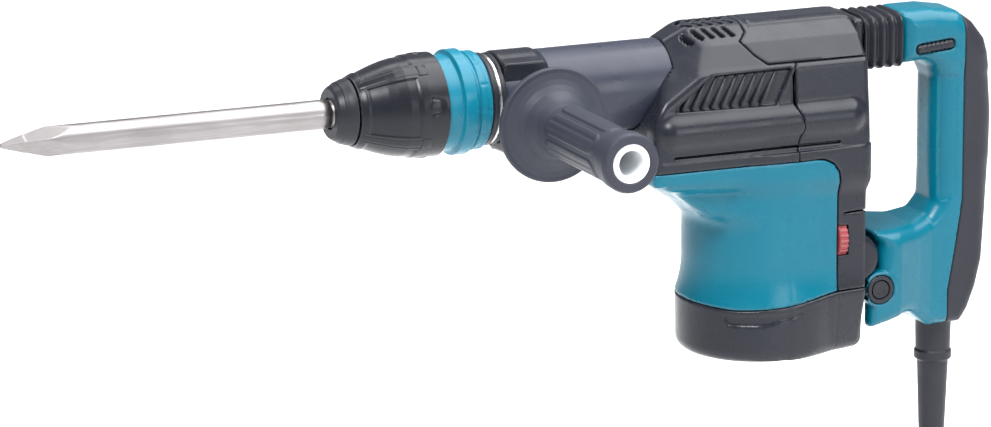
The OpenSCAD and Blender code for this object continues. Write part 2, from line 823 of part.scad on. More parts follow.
module motor_end_cover() {
  top = split_z - seam_gap;
  color(dark) difference() {
    union() {
      difference() {
        union() {
          translate([0, 0, base_z + 4]) linear_extrude(top - base_z - 4) end_plan(0);
          translate([0, 0, base_z + 2]) linear_extrude(2.01) end_plan(1.2);
          translate([0, 0, base_z]) linear_extrude(2.01) end_plan(4);
        }
        translate([0, 0, base_z + cover_wall]) linear_extrude(60) end_plan(cover_wall + 1.5);
      }
      translate([motor_x, 0, base_z + 1]) cylinder(h = low_bearing_z + 6 - base_z, r = 14);
    }
    translate([motor_x, 0, low_bearing_z - 0.1]) cylinder(h = 20, r = 11 + seat_gap);
    translate([motor_x, 0, low_bearing_z - 1.5]) cylinder(h = 5, r = 6);
    screw_holes_base();
    for (s = [-1, 1]) translate([pivot_x, s * (lug_half + 25), pivot_z]) rotate([90, 0, 0])
      cylinder(h = 50, r = boss_r + 1.2, center = true);
  }
}

module screw() {
  cylinder(h = 4, r = 4.2);
  translate([0, 0, 3.9]) cylinder(h = 14, r = 2.5);
}

module screw_holes_base() {
  for (p = base_screw_xy) translate([motor_x + p[0], p[1], base_z - 1]) cylinder(h = 5.2, r = 4.5);
}

module housing_screws() {
  color(steel) for (p = base_screw_xy) translate([motor_x + p[0], p[1], base_z + 0.6]) difference() {
    screw();
    translate([0, 0, -1]) cylinder(h = 3, r = 2, $fn = 6);
  }
}

// ---- rear handle ----

module boot_section(half_y, half_z) {
  translate([0, 15]) square([2 * half_y, 2 * half_z], center = true);
}

module handle_boot() {
  x0 = rear_x + 8.3;
  x1 = handle_x - 0.3;
  n = 7;
  step = (x1 - x0) / n;
  color(black) for (i = [0:n - 1]) translate([x0 + i * step, 0, 0]) rotate([90, 0, 90])
    linear_extrude(i < n - 1 ? step + eps : step) difference() {
      boot_section(i % 2 == 0 ? 20 : 17, i % 2 == 0 ? 17.5 : 14.5);
      boot_section(14, 12);
    }
}

module handle_spring() {
  color(steel) translate([0, 0, 15]) spring_x(rear_x + 0.5, handle_x - 0.5, 9, 1.1, 6);
}

module handle_outline() {
  difference() {
    polygon([[handle_x, 33], [lever_x, 33], [-29, 30], [-17, 22], [-8, 11], [-3, -7], [-0.8, -40],
      [0, -70], [0, arm_top + 5], [-2, arm_top - 27], [-8, arm_top - 46], [-17, arm_top - 60],
      [-23, handle_bottom], [guard_x - 13, handle_bottom], [-64, handle_bottom + 12],
      [-70, handle_bottom + 13], [-98, handle_bottom + 6], [-98, pivot_z - 8],
      [-90, pivot_z + 12], [-88, arm_top - 9], [-95, arm_top], [-62, arm_top],
      [grip_front - 5, arm_top + 4], [grip_front + 0.5, arm_top + 12], [grip_front, -60],
      [grip_front, -12], [grip_front - 3, -4], [grip_front - 9, 0], [handle_x, -1.5]]);
    translate([bulge_x, bulge_z]) circle(bulge_r + 2.2);
  }
}

module handle_body() {
  for (s = [0, 180]) translate([pivot_x, 0, pivot_z]) rotate([90, 0, s])
    translate([0, 0, lug_half + 0.5]) cylinder(h = arm_half - lug_half - 0.1, r = boss_r);
  intersection() {
    side_slab(arm_half) handle_outline();
    union() {
      translate([0, 0, base_z - 10]) linear_extrude(arm_top + 2 - base_z + 10)
        polygon([[-120, arm_half], [-80, arm_half], [-50, grip_w / 2 + 1], [10, grip_w / 2],
          [10, -grip_w / 2], [-50, -grip_w / 2 - 1], [-80, -arm_half], [-120, -arm_half]]);
      box(-120, 10, -grip_w / 2 - 1, grip_w / 2 + 1, arm_top, 60);
    }
  }
}

module handle_cavity() {
  side_slab(grip_w / 2 - hand_wall) offset(delta = -hand_wall) handle_outline();
  side_slab(lug_half + 0.5) polygon([[-120, base_z - 10], [-76, base_z - 10], [-76, arm_top + 10],
    [-120, arm_top + 10]]);
}

module pad_region(grow) {
  side_slab(60) offset(delta = grow) polygon([[-26, 60], [-26, arm_top + 12], [-31, arm_top - 20],
    [guard_x, arm_top - 46], [guard_x, base_z - 20], [20, base_z - 20], [20, 60]]);
}

module lever_slot(gap) {
  translate([lever_x, 0, lever_z]) rotate([0, -5, 0])
    cube([27 + 2 * gap, 100, 6 + 2 * gap], center = true);
}

module handle_cuts() {
  lever_slot(0.4);
  translate([guard_x, 0, handle_bottom - 5]) cylinder(h = 12, r = 12);
  for (s = [-1, 1]) translate([pivot_x, s * arm_half, pivot_z]) rotate([90, 0, 0])
    cylinder(h = 30, r = bush_r + seat_gap, center = true);
}

module handle_frame() {
  color(teal) difference() {
    union() {
      difference() {
        handle_body();
        handle_cavity();
      }
      for (p = handle_screw_zx) {
        box(p[1] - 9, p[1] - 1, -grip_w / 2 + 1, grip_w / 2 - 1, p[0] - 1.5, p[0] + 1.5);
        translate([0, 0, p[0]]) rod_x(p[1] - 9, p[1] - 1, 4.5);
      }
    }
    pad_region(seam_gap);
    handle_cuts();
    handle_screw_holes();
  }
}

module handle_back_cover() {
  color(dark) difference() {
    intersection() {
      union() {
        difference() {
          handle_body();
          handle_cavity();
        }
        for (p = handle_screw_zx) translate([0, 0, p[0]]) rod_x(p[1] + 1, -5, 4.5);
      }
      pad_region(0);
    }
    handle_cuts();
    handle_screw_holes();
  }
}

module handle_screw_holes() {
  for (p = handle_screw_zx) translate([0, 0, p[0]]) rod_x(p[1] - 7.5, p[1] + 12.5, 2 + seat_gap);
}

module pivot_bolts() {
  color(steel) for (s = [0, 180]) translate([pivot_x, 0, pivot_z]) rotate([90, 0, s]) {
    translate([0, 0, 12]) cylinder(h = 14, r = 3);
    translate([0, 0, lug_half + 0.1]) cylinder(h = 7, r = bolt_shank_r);
    translate([0, 0, lug_half + 6.9]) cylinder(h = 2, r = 5.3);
  }
}

module pivot_bushes() {
  y0 = lug_half + 0.6;
  color(grey) for (s = [0, 180]) translate([pivot_x, 0, pivot_z]) rotate([90, 0, s]) difference() {
    translate([0, 0, y0]) cylinder(h = arm_half + 0.6 - y0, r = bush_r);
    translate([0, 0, y0 - 1]) cylinder(h = 20, r = bolt_shank_r + run_gap);
    translate([0, 0, lug_half + 6.8]) cylinder(h = 20, r = 5.6);
  }
}

module switch_unit() {
  color(black) box(lever_x - 14, lever_x + 14, -9, 9, lever_z + 5.5, lever_z + 16.5);
}

module switch_lever() {
  half = grip_w / 2 + 1 + switch_travel / 2;
  color(black) translate([lever_x, 0, lever_z]) rotate([0, -5, 0])
    cube([27, 2 * half, 6], center = true);
}

module handle_screws() {
  color(steel) for (p = handle_screw_zx) translate([0, 0, p[0]]) rod_x(p[1] - 7, p[1] + 12, 2);
}

module cord_clamp() {
  color(grey) difference() {
    box(guard_x - 9, guard_x + 9, -13, 13, handle_bottom + 14, handle_bottom + 22);
    translate([guard_x, 0, handle_bottom]) cylinder(h = 40, r = cord_r + seat_gap);
  }
}

module cord_guard() {
  color(black) translate([guard_x, 0, guard_top]) rotate_extrude()
    polygon([[cord_r + seat_gap, -guard_len], [7.3, -guard_len], [8.5, -68], [9.9, -28],
      [11.2, -27], [11.8, -23], [11.2, -20], [11.7, -1], [11.7, 6.5], [14, 7.4], [14, 11],
      [cord_r + seat_gap, 11]]);
}

// ---- mains lead ----

module cord() {
  color(black) {
    swept(cord_lead, cord_r, 10, [0, 1, 0]);
    swept(cord_tail, cord_r, 10, [0, 1, 0]);
  }
}

module coil_place() {
  translate([coil_x, 0, coil_z]) rotate([90, 0, 0]) children();
}

module cord_coil() {
  color(black) coil_place() rotate_extrude() translate([coil_mid_r, 0])
    square([2 * coil_half, 2 * coil_half_w], center = true);
}

module cord_tie() {
  gap = 0.3;
  wall = 1.5;
  in = coil_mid_r - coil_half - gap;
  out = coil_mid_r + coil_half + gap;
  color(grey) intersection() {
    coil_place() difference() {
      translate([0, 0, -coil_half_w - gap - wall])
        cylinder(h = 2 * (coil_half_w + gap + wall), r = out + wall);
      translate([0, 0, -coil_half_w - gap - 5]) cylinder(h = 2 * (coil_half_w + gap + 5), r = in - wall);
      coil_place_gap(in, out, coil_half_w + gap);
    }
    box(coil_x - tie_half, coil_x + tie_half, -60, 60, coil_z - big, coil_z);
  }
}

module coil_place_gap(in, out, half) {
  difference() {
    translate([0, 0, -half]) cylinder(h = 2 * half, r = out);
    translate([0, 0, -half - 1]) cylinder(h = 2 * half + 2, r = in);
  }
}

module plug_body() {
  color(black) translate([plug_x, plug_y, 0]) difference() {
    union() {
      translate([0, 0, plug_top - 14]) cylinder(h = 14, r = 7);
      translate([0, 0, plug_top - plug_len]) cylinder(h = plug_len - 12, r = 17.5);
    }
    for (s = [-1, 1]) translate([0, s * plug_pitch / 2, plug_top - plug_len - 1])
      cylinder(h = 9, r = plug_root_r + seat_gap);
  }
}

module plug_pins() {
  color(steel) for (s = [-1, 1])
    translate([plug_x, plug_y + s * plug_pitch / 2, plug_top - plug_len - plug_pin_len]) {
      cylinder(h = plug_pin_len - plug_root_len, r = plug_pin_r);
      cylinder(h = plug_pin_len + 7, r = plug_root_r);
    }
}

chisel();
tool_sleeve();
locking_rollers();
dust_cap();
release_spring();
release_cover();
change_ring();
ring_spring();
neck_seal_rings();
neck_steel_ring();
barrel_housing();
clamp_collar();
clamp_bolt();
side_grip_core();
side_grip_rubber();
impact_bolt();
cylinder_liner();
striker();
piston();
piston_pin();
connecting_rod();
absorber_weight();
absorber_springs();
gear_case();
crank_bearings();
crank_gear();
crank_shaft();
armature_shaft();
armature_core();
commutator();
fan();
armature_bearings();
field_stator();
field_coils();
brush_holders();
carbon_brushes();
speed_control_unit();
speed_dial();
main_cover();
top_cover();
rear_cover();
motor_housing();
motor_end_cover();
housing_screws();
handle_boot();
handle_spring();
handle_frame();
handle_back_cover();
pivot_bolts();
pivot_bushes();
switch_unit();
switch_lever();
handle_screws();
cord_clamp();
cord_guard();
cord();
cord_coil();
cord_tie();
plug_body();
plug_pins();
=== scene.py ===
import json
import math

import bpy
import bmesh
import numpy as np
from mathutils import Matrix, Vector


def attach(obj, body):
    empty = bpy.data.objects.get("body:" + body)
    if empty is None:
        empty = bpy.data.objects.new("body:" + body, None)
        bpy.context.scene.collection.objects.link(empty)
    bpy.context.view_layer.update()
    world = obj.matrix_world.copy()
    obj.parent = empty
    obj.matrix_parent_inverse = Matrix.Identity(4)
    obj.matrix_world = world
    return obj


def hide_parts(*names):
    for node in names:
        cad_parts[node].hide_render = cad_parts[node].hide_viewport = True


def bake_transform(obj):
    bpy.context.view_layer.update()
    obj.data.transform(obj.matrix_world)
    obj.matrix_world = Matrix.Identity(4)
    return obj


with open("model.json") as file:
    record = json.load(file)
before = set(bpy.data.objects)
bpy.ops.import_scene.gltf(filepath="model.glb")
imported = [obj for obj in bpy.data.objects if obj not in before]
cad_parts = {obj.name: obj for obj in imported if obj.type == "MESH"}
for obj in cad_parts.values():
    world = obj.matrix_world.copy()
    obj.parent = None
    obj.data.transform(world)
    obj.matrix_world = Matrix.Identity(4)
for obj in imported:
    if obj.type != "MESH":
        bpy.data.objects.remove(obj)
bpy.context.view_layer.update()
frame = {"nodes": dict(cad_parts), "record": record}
mm = 0.001

# the camera is on the near side, turned towards the front, above the striking axis and not rolled
cameraValues = {"target": (-0.339, 0.0, -0.073), "away": (-0.3917, -0.8883, 0.24),
                "distance": 4.0, "lens": 237.1, "sensor": 36.0}


def placeCamera(values):
    data = bpy.data.cameras.new("studioCamera")
    data.lens, data.sensor_width = values["lens"], values["sensor"]
    camera = bpy.data.objects.new("studioCamera", data)
    target, away = Vector(values["target"]), Vector(values["away"]).normalized()
    camera.location = target + away * values["distance"]
    camera.rotation_euler = (-away).to_track_quat("-Z", "Y").to_euler()
    bpy.context.collection.objects.link(camera)
    bpy.context.scene.camera = camera


placeCamera(cameraValues)


# finishes: each is a small node graph on object coordinates, so it needs no unwrapping
def newFinish(name):
    material = bpy.data.materials.new(name)
    material.use_nodes = True
    tree = material.node_tree
    shader = next(n for n in tree.nodes if n.type == "BSDF_PRINCIPLED")
    place = tree.nodes.new("ShaderNodeTexCoord")
    return material, tree, shader, place


def noiseAt(tree, place, scale, detail=3.0, stretch=(1, 1, 1)):
    mapping = tree.nodes.new("ShaderNodeMapping")
    mapping.inputs["Scale"].default_value = stretch
    noise = tree.nodes.new("ShaderNodeTexNoise")
    noise.inputs["Scale"].default_value = scale
    noise.inputs["Detail"].default_value = detail
    tree.links.new(place.outputs["Object"], mapping.inputs["Vector"])
    tree.links.new(mapping.outputs["Vector"], noise.inputs["Vector"])
    return noise.outputs["Fac"]


def spread(tree, source, low, high, fromLow=0.3, fromHigh=0.7):
    node = tree.nodes.new("ShaderNodeMapRange")
    for key, value in (("From Min", fromLow), ("From Max", fromHigh), ("To Min", low), ("To Max", high)):
        node.inputs[key].default_value = value
    tree.links.new(source, node.inputs["Value"])
    return node.outputs["Result"]


def blendColour(tree, factor, first, second, mode="MIX"):
    node = tree.nodes.new("ShaderNodeMix")
    node.data_type, node.blend_type = "RGBA", mode
    for socket, value in ((node.inputs[6], first), (node.inputs[7], second)):
        if isinstance(value, tuple):
            socket.default_value = (*value, 1.0)
        else:
            tree.links.new(value, socket)
    if isinstance(factor, float):
        node.inputs[0].default_value = factor
    else:
        tree.links.new(factor, node.inputs[0])
    return node.outputs[2]


def addBump(tree, shader, layers):
    last = None
    for height, strength, depth in layers:
        bump = tree.nodes.new("ShaderNodeBump")
        bump.inputs["Strength"].default_value = strength
        bump.inputs["Distance"].default_value = depth
        tree.links.new(height, bump.inputs["Height"])
        if last:
            tree.links.new(last, bump.inputs["Normal"])
        last = bump.outputs["Normal"]
    tree.links.new(last, shader.inputs["Normal"])


def tone(colour, factor):
    return tuple(min(1.0, c * factor) for c in colour)


def mouldedFinish(name, colour, rough, grain=1500.0, grainDepth=0.00006, mottle=0.1, wear=0.45,
                  specular=0.28):
    material, tree, shader, place = newFinish(name)
    cloud = noiseAt(tree, place, 16.0, 4.0)
    speck = noiseAt(tree, place, grain, 2.0)
    base = blendColour(tree, spread(tree, cloud, 0.0, 1.0), tone(colour, 1 - mottle), tone(colour, 1 + mottle))
    base = blendColour(tree, spread(tree, speck, 0.0, 0.5), base, tone(colour, 1 + 2.2 * mottle))
    edge = tree.nodes.new("ShaderNodeNewGeometry").outputs["Pointiness"]
    scuff = noiseAt(tree, place, 130.0, 5.0)
    edgeMask = spread(tree, edge, 0.0, wear, 0.515, 0.60)
    cut = tree.nodes.new("ShaderNodeMath")
    cut.operation = "MULTIPLY"
    tree.links.new(edgeMask, cut.inputs[0])
    tree.links.new(spread(tree, scuff, 0.25, 1.0, 0.4, 0.6), cut.inputs[1])
    worn = tuple(0.62 * c + 0.38 * (0.18 + 0.4 * max(colour)) for c in colour)
    base = blendColour(tree, cut.outputs[0], base, worn)
    tree.links.new(base, shader.inputs["Base Color"])
    tree.links.new(spread(tree, noiseAt(tree, place, 55.0, 5.0), rough - 0.06, rough + 0.08),
                   shader.inputs["Roughness"])
    shader.inputs["Specular IOR Level"].default_value = specular
    addBump(tree, shader, [(speck, 0.55, grainDepth), (cloud, 0.08, 0.0006)])
    return material


def metalFinish(name, colour, rough, stretch=(1, 1, 1), lines=420.0, lineDepth=0.00002, stain=0.12):
    material, tree, shader, place = newFinish(name)
    cloud = noiseAt(tree, place, 22.0, 4.0)
    brushed = noiseAt(tree, place, lines, 3.0, stretch)
    base = blendColour(tree, spread(tree, cloud, 0.0, 1.0), tone(colour, 1 - stain), tone(colour, 1 + stain))
    base = blendColour(tree, spread(tree, brushed, 0.0, 0.35), base, tone(colour, 0.72))
    tree.links.new(base, shader.inputs["Base Color"])
    tree.links.new(spread(tree, brushed, rough - 0.07, rough + 0.1), shader.inputs["Roughness"])
    shader.inputs["Metallic"].default_value = 1.0
    addBump(tree, shader, [(brushed, 0.5, lineDepth), (cloud, 0.1, 0.0003)])
    return material


finishes = {
    "teal_plastic": mouldedFinish("tealHousing", (0.0, 0.112, 0.168), 0.28, mottle=0.05, wear=0.3),
    "change_teal": mouldedFinish("tealRing", (0.004, 0.150, 0.225), 0.28, mottle=0.05, wear=0.35),
    "dark_plastic": mouldedFinish("darkHousing", (0.0125, 0.0138, 0.0205), 0.26, mottle=0.08, wear=0.3),
    "chuck_plastic": mouldedFinish("darkChuck", (0.0095, 0.0103, 0.0150), 0.27, grainDepth=0.00003, wear=0.5),
    "dark_rubber": mouldedFinish("darkOvermould", (0.017, 0.018, 0.025), 0.46, grain=1100.0, grainDepth=0.0001,
                                 wear=0.15),
    "grip_rubber": mouldedFinish("gripRubber", (0.030, 0.033, 0.046), 0.46, grain=950.0, grainDepth=0.00012,
                                 wear=0.12),
    "black_rubber": mouldedFinish("blackRubber", (0.015, 0.016, 0.022), 0.38, grain=1200.0, wear=0.12),
    "cord_rubber": mouldedFinish("cordRubber", (0.009, 0.009, 0.010), 0.45, grain=1300.0, wear=0.05),
    "barrel_coating": mouldedFinish("powderCoat", (0.028, 0.032, 0.049), 0.30, grain=700.0, grainDepth=0.00008,
                                    mottle=0.06),
    "grey_plastic": mouldedFinish("greyPlastic", (0.016, 0.017, 0.024), 0.36),
    "dial_red": mouldedFinish("dialRed", (0.27, 0.045, 0.052), 0.42, grainDepth=0.00003, wear=0.5),
    "core_white": mouldedFinish("coreWhite", (0.80, 0.82, 0.84), 0.38, mottle=0.03, wear=0.1),
    "carbon": mouldedFinish("carbonBlock", (0.02, 0.02, 0.02), 0.6, mottle=0.2),
    "forged_steel": metalFinish("groundSteel", (0.30, 0.282, 0.282), 0.38, (0.06, 1, 1), 900.0),
    "bright_steel": metalFinish("turnedSteel", (0.62, 0.62, 0.63), 0.24, (1, 0.15, 0.15), 900.0),
    "spring_steel": metalFinish("springWire", (0.42, 0.42, 0.44), 0.3),
    "cast_alloy": metalFinish("castAlloy", (0.55, 0.56, 0.58), 0.5, lines=700.0, lineDepth=0.00012),
    "laminations": metalFinish("laminatedIron", (0.30, 0.30, 0.32), 0.5, (0.02, 0.02, 1), 1400.0, 0.00008),
    "copper": metalFinish("enamelCopper", (0.72, 0.30, 0.14), 0.35, (0.1, 0.1, 1), 800.0, 0.00008),
}

recordSlots = {part["node"]: part["material_slot"] for part in frame["record"]["subparts"]}
for nodeName, nodeObject in frame["nodes"].items():
    nodeObject.data.materials.clear()
    nodeObject.data.materials.append(finishes.get(recordSlots.get(nodeName, ""), finishes["grey_plastic"]))
print("finishes on", len(recordSlots), "carried nodes")


# mesh makers: points are in millimetres on the striking axis, faces are four-sided
def addPiece(name, points, quads, slotName, body, replaced=(), recalc=True):
    mesh = bpy.data.meshes.new(name)
    quads = np.asarray(quads, np.int32)
    mesh.vertices.add(len(points))
    mesh.vertices.foreach_set("co", (np.asarray(points, float) * mm).astype(np.float32).ravel())
    mesh.loops.add(quads.size)
    mesh.loops.foreach_set("vertex_index", quads.ravel())
    mesh.polygons.add(len(quads))
    mesh.polygons.foreach_set("loop_start", np.arange(0, quads.size, 4, dtype=np.int32))
    mesh.update(calc_edges=True)
    if recalc:
        work = bmesh.new()
        work.from_mesh(mesh)
        bmesh.ops.remove_doubles(work, verts=work.verts, dist=1e-6)
        bmesh.ops.recalc_face_normals(work, faces=work.faces)
        work.to_mesh(mesh)
        work.free()
    mesh.polygons.foreach_set("use_smooth", np.ones(len(mesh.polygons), bool))
    piece = bpy.data.objects.new(name, mesh)
    bpy.context.collection.objects.link(piece)
    return dressPiece(piece, slotName, body, replaced)


def dressPiece(piece, slotName, body, replaced=()):
    piece.data.materials.clear()
    piece.data.materials.append(finishes[slotName])
    if body:
        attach(piece, body)
    if replaced:
        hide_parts(*replaced)
    return piece


def softened(points, radius, steps=4, closed=True, support=0.35):
    # rounds each corner of an outline, with a support point just past each end of the round
    points = [np.array(p, float) for p in points]
    made = []
    for i, p in enumerate(points):
        if not closed and i in (0, len(points) - 1):
            made.append(p)
            continue
        before, after = points[i - 1], points[(i + 1) % len(points)]
        a, b = before - p, after - p
        la, lb = np.linalg.norm(a), np.linalg.norm(b)
        a, b = a / la, b / lb
        bend = math.acos(float(np.clip(a @ b, -1, 1)))
        if math.pi - bend < 0.02:
            made.append(p)
            continue
        cut = min(radius / math.tan(bend / 2), 0.45 * la, 0.45 * lb)
        if support and cut + support < 0.5 * la:
            made.append(p + a * (cut + support))
        for k in range(steps + 1):
            t = k / steps
            made.append((1 - t) ** 2 * (p + a * cut) + 2 * t * (1 - t) * p + t * t * (p + b * cut))
        if support and cut + support < 0.5 * lb:
            made.append(p + b * (cut + support))
    return made


def filled(points, longest):
    # adds points so that no stretch of a closed outline is longer than given
    made = []
    for p, q in zip(points, points[1:] + points[:1]):
        n = max(1, math.ceil(np.linalg.norm(q - p) / longest))
        made += [p + (q - p) * k / n for k in range(n)]
    return made


def ringAngles(count):
    return (np.arange(count) * 2 * math.pi / count)[None, :]


def ringFaces(rows, count, loop=False):
    # faces between neighbouring rings; a loop also joins the last ring to the first
    i, j = np.meshgrid(np.arange(rows if loop else rows - 1), np.arange(count), indexing="ij")
    n, k = (i + 1) % rows, (j + 1) % count
    faces = np.stack([i * count + j, i * count + k, n * count + k, n * count + j], axis=-1)
    return faces.reshape(-1, 4)


def endFaces(rows, count):
    # fans round the two centre points that follow the rings
    faces = []
    for centre, start in ((rows * count, 0), (rows * count + 1, (rows - 1) * count)):
        for j in range(0, count, 2):
            faces.append([centre, start + j, start + (j + 1) % count, start + (j + 2) % count])
    return np.array(faces)


def turned(name, profile, slotName, body, replaced=(), axis="x", origin=(0, 0, 0), radius=0.5, count=128,
           longest=None, shape=None):
    # profile is a closed loop of station along the axis and radius, clear of the axis itself
    loop = softened(profile, radius)
    if longest:
        loop = filled(loop, longest)
    loop = np.array(loop)
    along, out = loop[:, 0][:, None], loop[:, 1][:, None]
    angle = ringAngles(count)
    if shape:
        out = shape(along, angle, out)
    along, out, angle = np.broadcast_arrays(along, out, angle)
    u, v = out * np.cos(angle), out * np.sin(angle)
    parts = {"x": (along, u, v), "-y": (u, -along, v), "y": (u, along, v), "z": (u, v, along)}[axis]
    points = np.stack([parts[k] + origin[k] for k in range(3)], axis=-1).reshape(-1, 3)
    return addPiece(name, points, ringFaces(len(loop), count, loop=True), slotName, body, replaced)


# distance fields: negative inside, all in millimetres
def outline(points, u, v):
    pts = np.array(points, float)
    best, odd = np.inf, False
    for a, b in zip(pts, np.roll(pts, -1, axis=0)):
        ex, ey = b - a
        wx, wy = u - a[0], v - a[1]
        t = np.clip((wx * ex + wy * ey) / (ex * ex + ey * ey + 1e-12), 0, 1)
        best = np.minimum(best, (wx - ex * t) ** 2 + (wy - ey * t) ** 2)
        run = ey if abs(ey) > 1e-9 else 1e-9
        odd = odd ^ (((a[1] > v) != (b[1] > v)) & (u < ex * (v - a[1]) / run + a[0]))
    return np.where(odd, -1.0, 1.0) * np.sqrt(best)


def roundMax(a, b, r):
    return np.minimum(-r, np.maximum(a, b)) + np.hypot(np.maximum(a + r, 0), np.maximum(b + r, 0))


def roundMin(a, b, r):
    return np.maximum(r, np.minimum(a, b)) - np.hypot(np.maximum(r - a, 0), np.maximum(r - b, 0))


def boxField(x, y, z, centre, half, radius=0.5, turnZ=0.0, turnY=0.0):
    x, y, z = x - centre[0], y - centre[1], z - centre[2]
    if turnZ:
        c, s = math.cos(math.radians(turnZ)), math.sin(math.radians(turnZ))
        x, y = c * x + s * y, c * y - s * x
    if turnY:
        c, s = math.cos(math.radians(turnY)), math.sin(math.radians(turnY))
        x, z = c * x - s * z, s * x + c * z
    q = [np.abs(p) - h + radius for p, h in zip((x, y, z), half)]
    outside = np.sqrt(sum(np.maximum(p, 0) ** 2 for p in q))
    return outside + np.minimum(np.maximum(np.maximum(q[0], q[1]), q[2]), 0) - radius


def moulded(name, field, low, high, cell, slotName, body, replaced=()):
    # meshes a distance field with one point in each cell that its surface crosses
    cell = cell * 1.0
    low = np.array(low, float) - 1.5 * cell
    counts = np.ceil((np.array(high, float) + 1.5 * cell - low) / cell).astype(int) + 1
    axes = [low[k] + cell * np.arange(counts[k]) for k in range(3)]
    grid = np.meshgrid(*axes, indexing="ij", sparse=True)
    value = np.ascontiguousarray(np.broadcast_to(field(*grid), counts), dtype=np.float32)
    cells = counts - 1
    total = int(np.prod(cells))
    sums, hits = np.zeros((3, total)), np.zeros(total)
    quads = []
    for axis in range(3):
        lower = [slice(None)] * 3
        upper = [slice(None)] * 3
        lower[axis], upper[axis] = slice(0, -1), slice(1, None)
        a, b = value[tuple(lower)], value[tuple(upper)]
        spots = np.argwhere((a < 0) != (b < 0))
        p, q = (axis + 1) % 3, (axis + 2) % 3
        inside = (spots[:, p] > 0) & (spots[:, q] > 0) & (spots[:, p] < cells[p]) & (spots[:, q] < cells[q])
        spots = spots[inside]
        va, vb = a[tuple(spots.T)].astype(float), b[tuple(spots.T)].astype(float)
        where = spots.astype(float)
        where[:, axis] += va / (va - vb)
        corner = []
        for dp, dq in ((-1, -1), (0, -1), (0, 0), (-1, 0)):
            cellAt = spots.copy()
            cellAt[:, p] += dp
            cellAt[:, q] += dq
            flat = np.ravel_multi_index(cellAt.T, cells)
            corner.append(flat)
            hits += np.bincount(flat, minlength=total)
            for k in range(3):
                sums[k] += np.bincount(flat, weights=where[:, k], minlength=total)
        corner = np.stack(corner, axis=1)
        corner[va > 0] = corner[va > 0][:, ::-1]
        quads.append(corner)
    quads = np.concatenate(quads)
    used = np.flatnonzero(hits)
    renumber = np.zeros(total, int)
    renumber[used] = np.arange(len(used))
    points = (sums[:, used] / hits[used]).T * cell + low
    for _ in range(2):
        x, y, z = points.T
        here = field(x, y, z)
        slope = np.stack([field(x + 0.1, y, z) - field(x - 0.1, y, z),
                          field(x, y + 0.1, z) - field(x, y - 0.1, z),
                          field(x, y, z + 0.1) - field(x, y, z - 0.1)], axis=1) / 0.2
        steep = np.maximum((slope ** 2).sum(axis=1), 0.3)
        move = -(here / steep)[:, None] * slope
        points = points + np.clip(move, -0.45 * cell, 0.45 * cell)
    piece = addPiece(name, points, renumber[quads], slotName, body, replaced, recalc=False)
    print(name, len(quads), "faces")
    return piece


# repeats: copies of a base mesh along a line and round an axis, as a small node tree
def repeatTree():
    tree = bpy.data.node_groups.new("repeatPiece", "GeometryNodeTree")
    face = tree.interface
    for label, kind in (("Base", "Geometry"), ("Count", "Int"), ("Step", "Vector"), ("Turn", "Vector"),
                        ("Centre", "Vector"), ("Size Drift", "Float"), ("Seed", "Int"),
                        ("Finish", "Material")):
        face.new_socket(label, in_out="INPUT", socket_type="NodeSocket" + kind)
    face.new_socket("Result", in_out="OUTPUT", socket_type="NodeSocketGeometry")
    nodes, links = tree.nodes, tree.links
    given, result = nodes.new("NodeGroupInput"), nodes.new("NodeGroupOutput")
    line = nodes.new("GeometryNodeMeshLine")
    links.new(given.outputs["Count"], line.inputs["Count"])
    links.new(given.outputs["Centre"], line.inputs["Start Location"])
    links.new(given.outputs["Step"], line.inputs["Offset"])
    index = nodes.new("GeometryNodeInputIndex")
    turn = nodes.new("ShaderNodeVectorMath")
    turn.operation = "SCALE"
    links.new(given.outputs["Turn"], turn.inputs[0])
    links.new(index.outputs[0], turn.inputs["Scale"])
    drift = nodes.new("FunctionNodeRandomValue")
    low = nodes.new("ShaderNodeMath")
    low.operation = "SUBTRACT"
    low.inputs[0].default_value = 1.0
    links.new(given.outputs["Size Drift"], low.inputs[1])
    links.new(low.outputs[0], drift.inputs[2])
    drift.inputs[3].default_value = 1.0
    links.new(given.outputs["Seed"], drift.inputs["Seed"])
    place = nodes.new("GeometryNodeInstanceOnPoints")
    links.new(line.outputs["Mesh"], place.inputs["Points"])
    links.new(given.outputs["Base"], place.inputs["Instance"])
    links.new(turn.outputs[0], place.inputs["Rotation"])
    links.new(drift.outputs[1], place.inputs["Scale"])
    real, finish = nodes.new("GeometryNodeRealizeInstances"), nodes.new("GeometryNodeSetMaterial")
    links.new(place.outputs[0], real.inputs[0])
    links.new(real.outputs[0], finish.inputs["Geometry"])
    links.new(given.outputs["Finish"], finish.inputs["Material"])
    links.new(finish.outputs[0], result.inputs[0])
    return tree


repeatNodes = repeatTree()


def repeated(piece, slotName, body, count, step=(0, 0, 0), turn=(0, 0, 0), centre=(0, 0, 0),
             drift=0.0, seed=3, replaced=()):
    modifier = piece.modifiers.new("repeat", "NODES")
    modifier.node_group = repeatNodes
    wanted = {"Count": count, "Step": tuple(s * mm for s in step),
              "Turn": tuple(math.radians(t) for t in turn),
              "Centre": tuple(c * mm for c in centre), "Size Drift": drift, "Seed": seed,
              "Finish": finishes[slotName]}
    for item in repeatNodes.interface.items_tree:
        if item.item_type == "SOCKET" and item.in_out == "INPUT" and item.name in wanted:
            modifier[item.identifier] = wanted[item.name]
    view = bpy.context.evaluated_depsgraph_get()
    view.update()
    mesh = bpy.data.meshes.new_from_object(piece.evaluated_get(view), depsgraph=view)
    made = bpy.data.objects.new(piece.name + "Set", mesh)
    bpy.context.collection.objects.link(made)
    bpy.data.objects.remove(piece)
    mesh.materials.clear()
    return dressPiece(made, slotName, body, replaced)


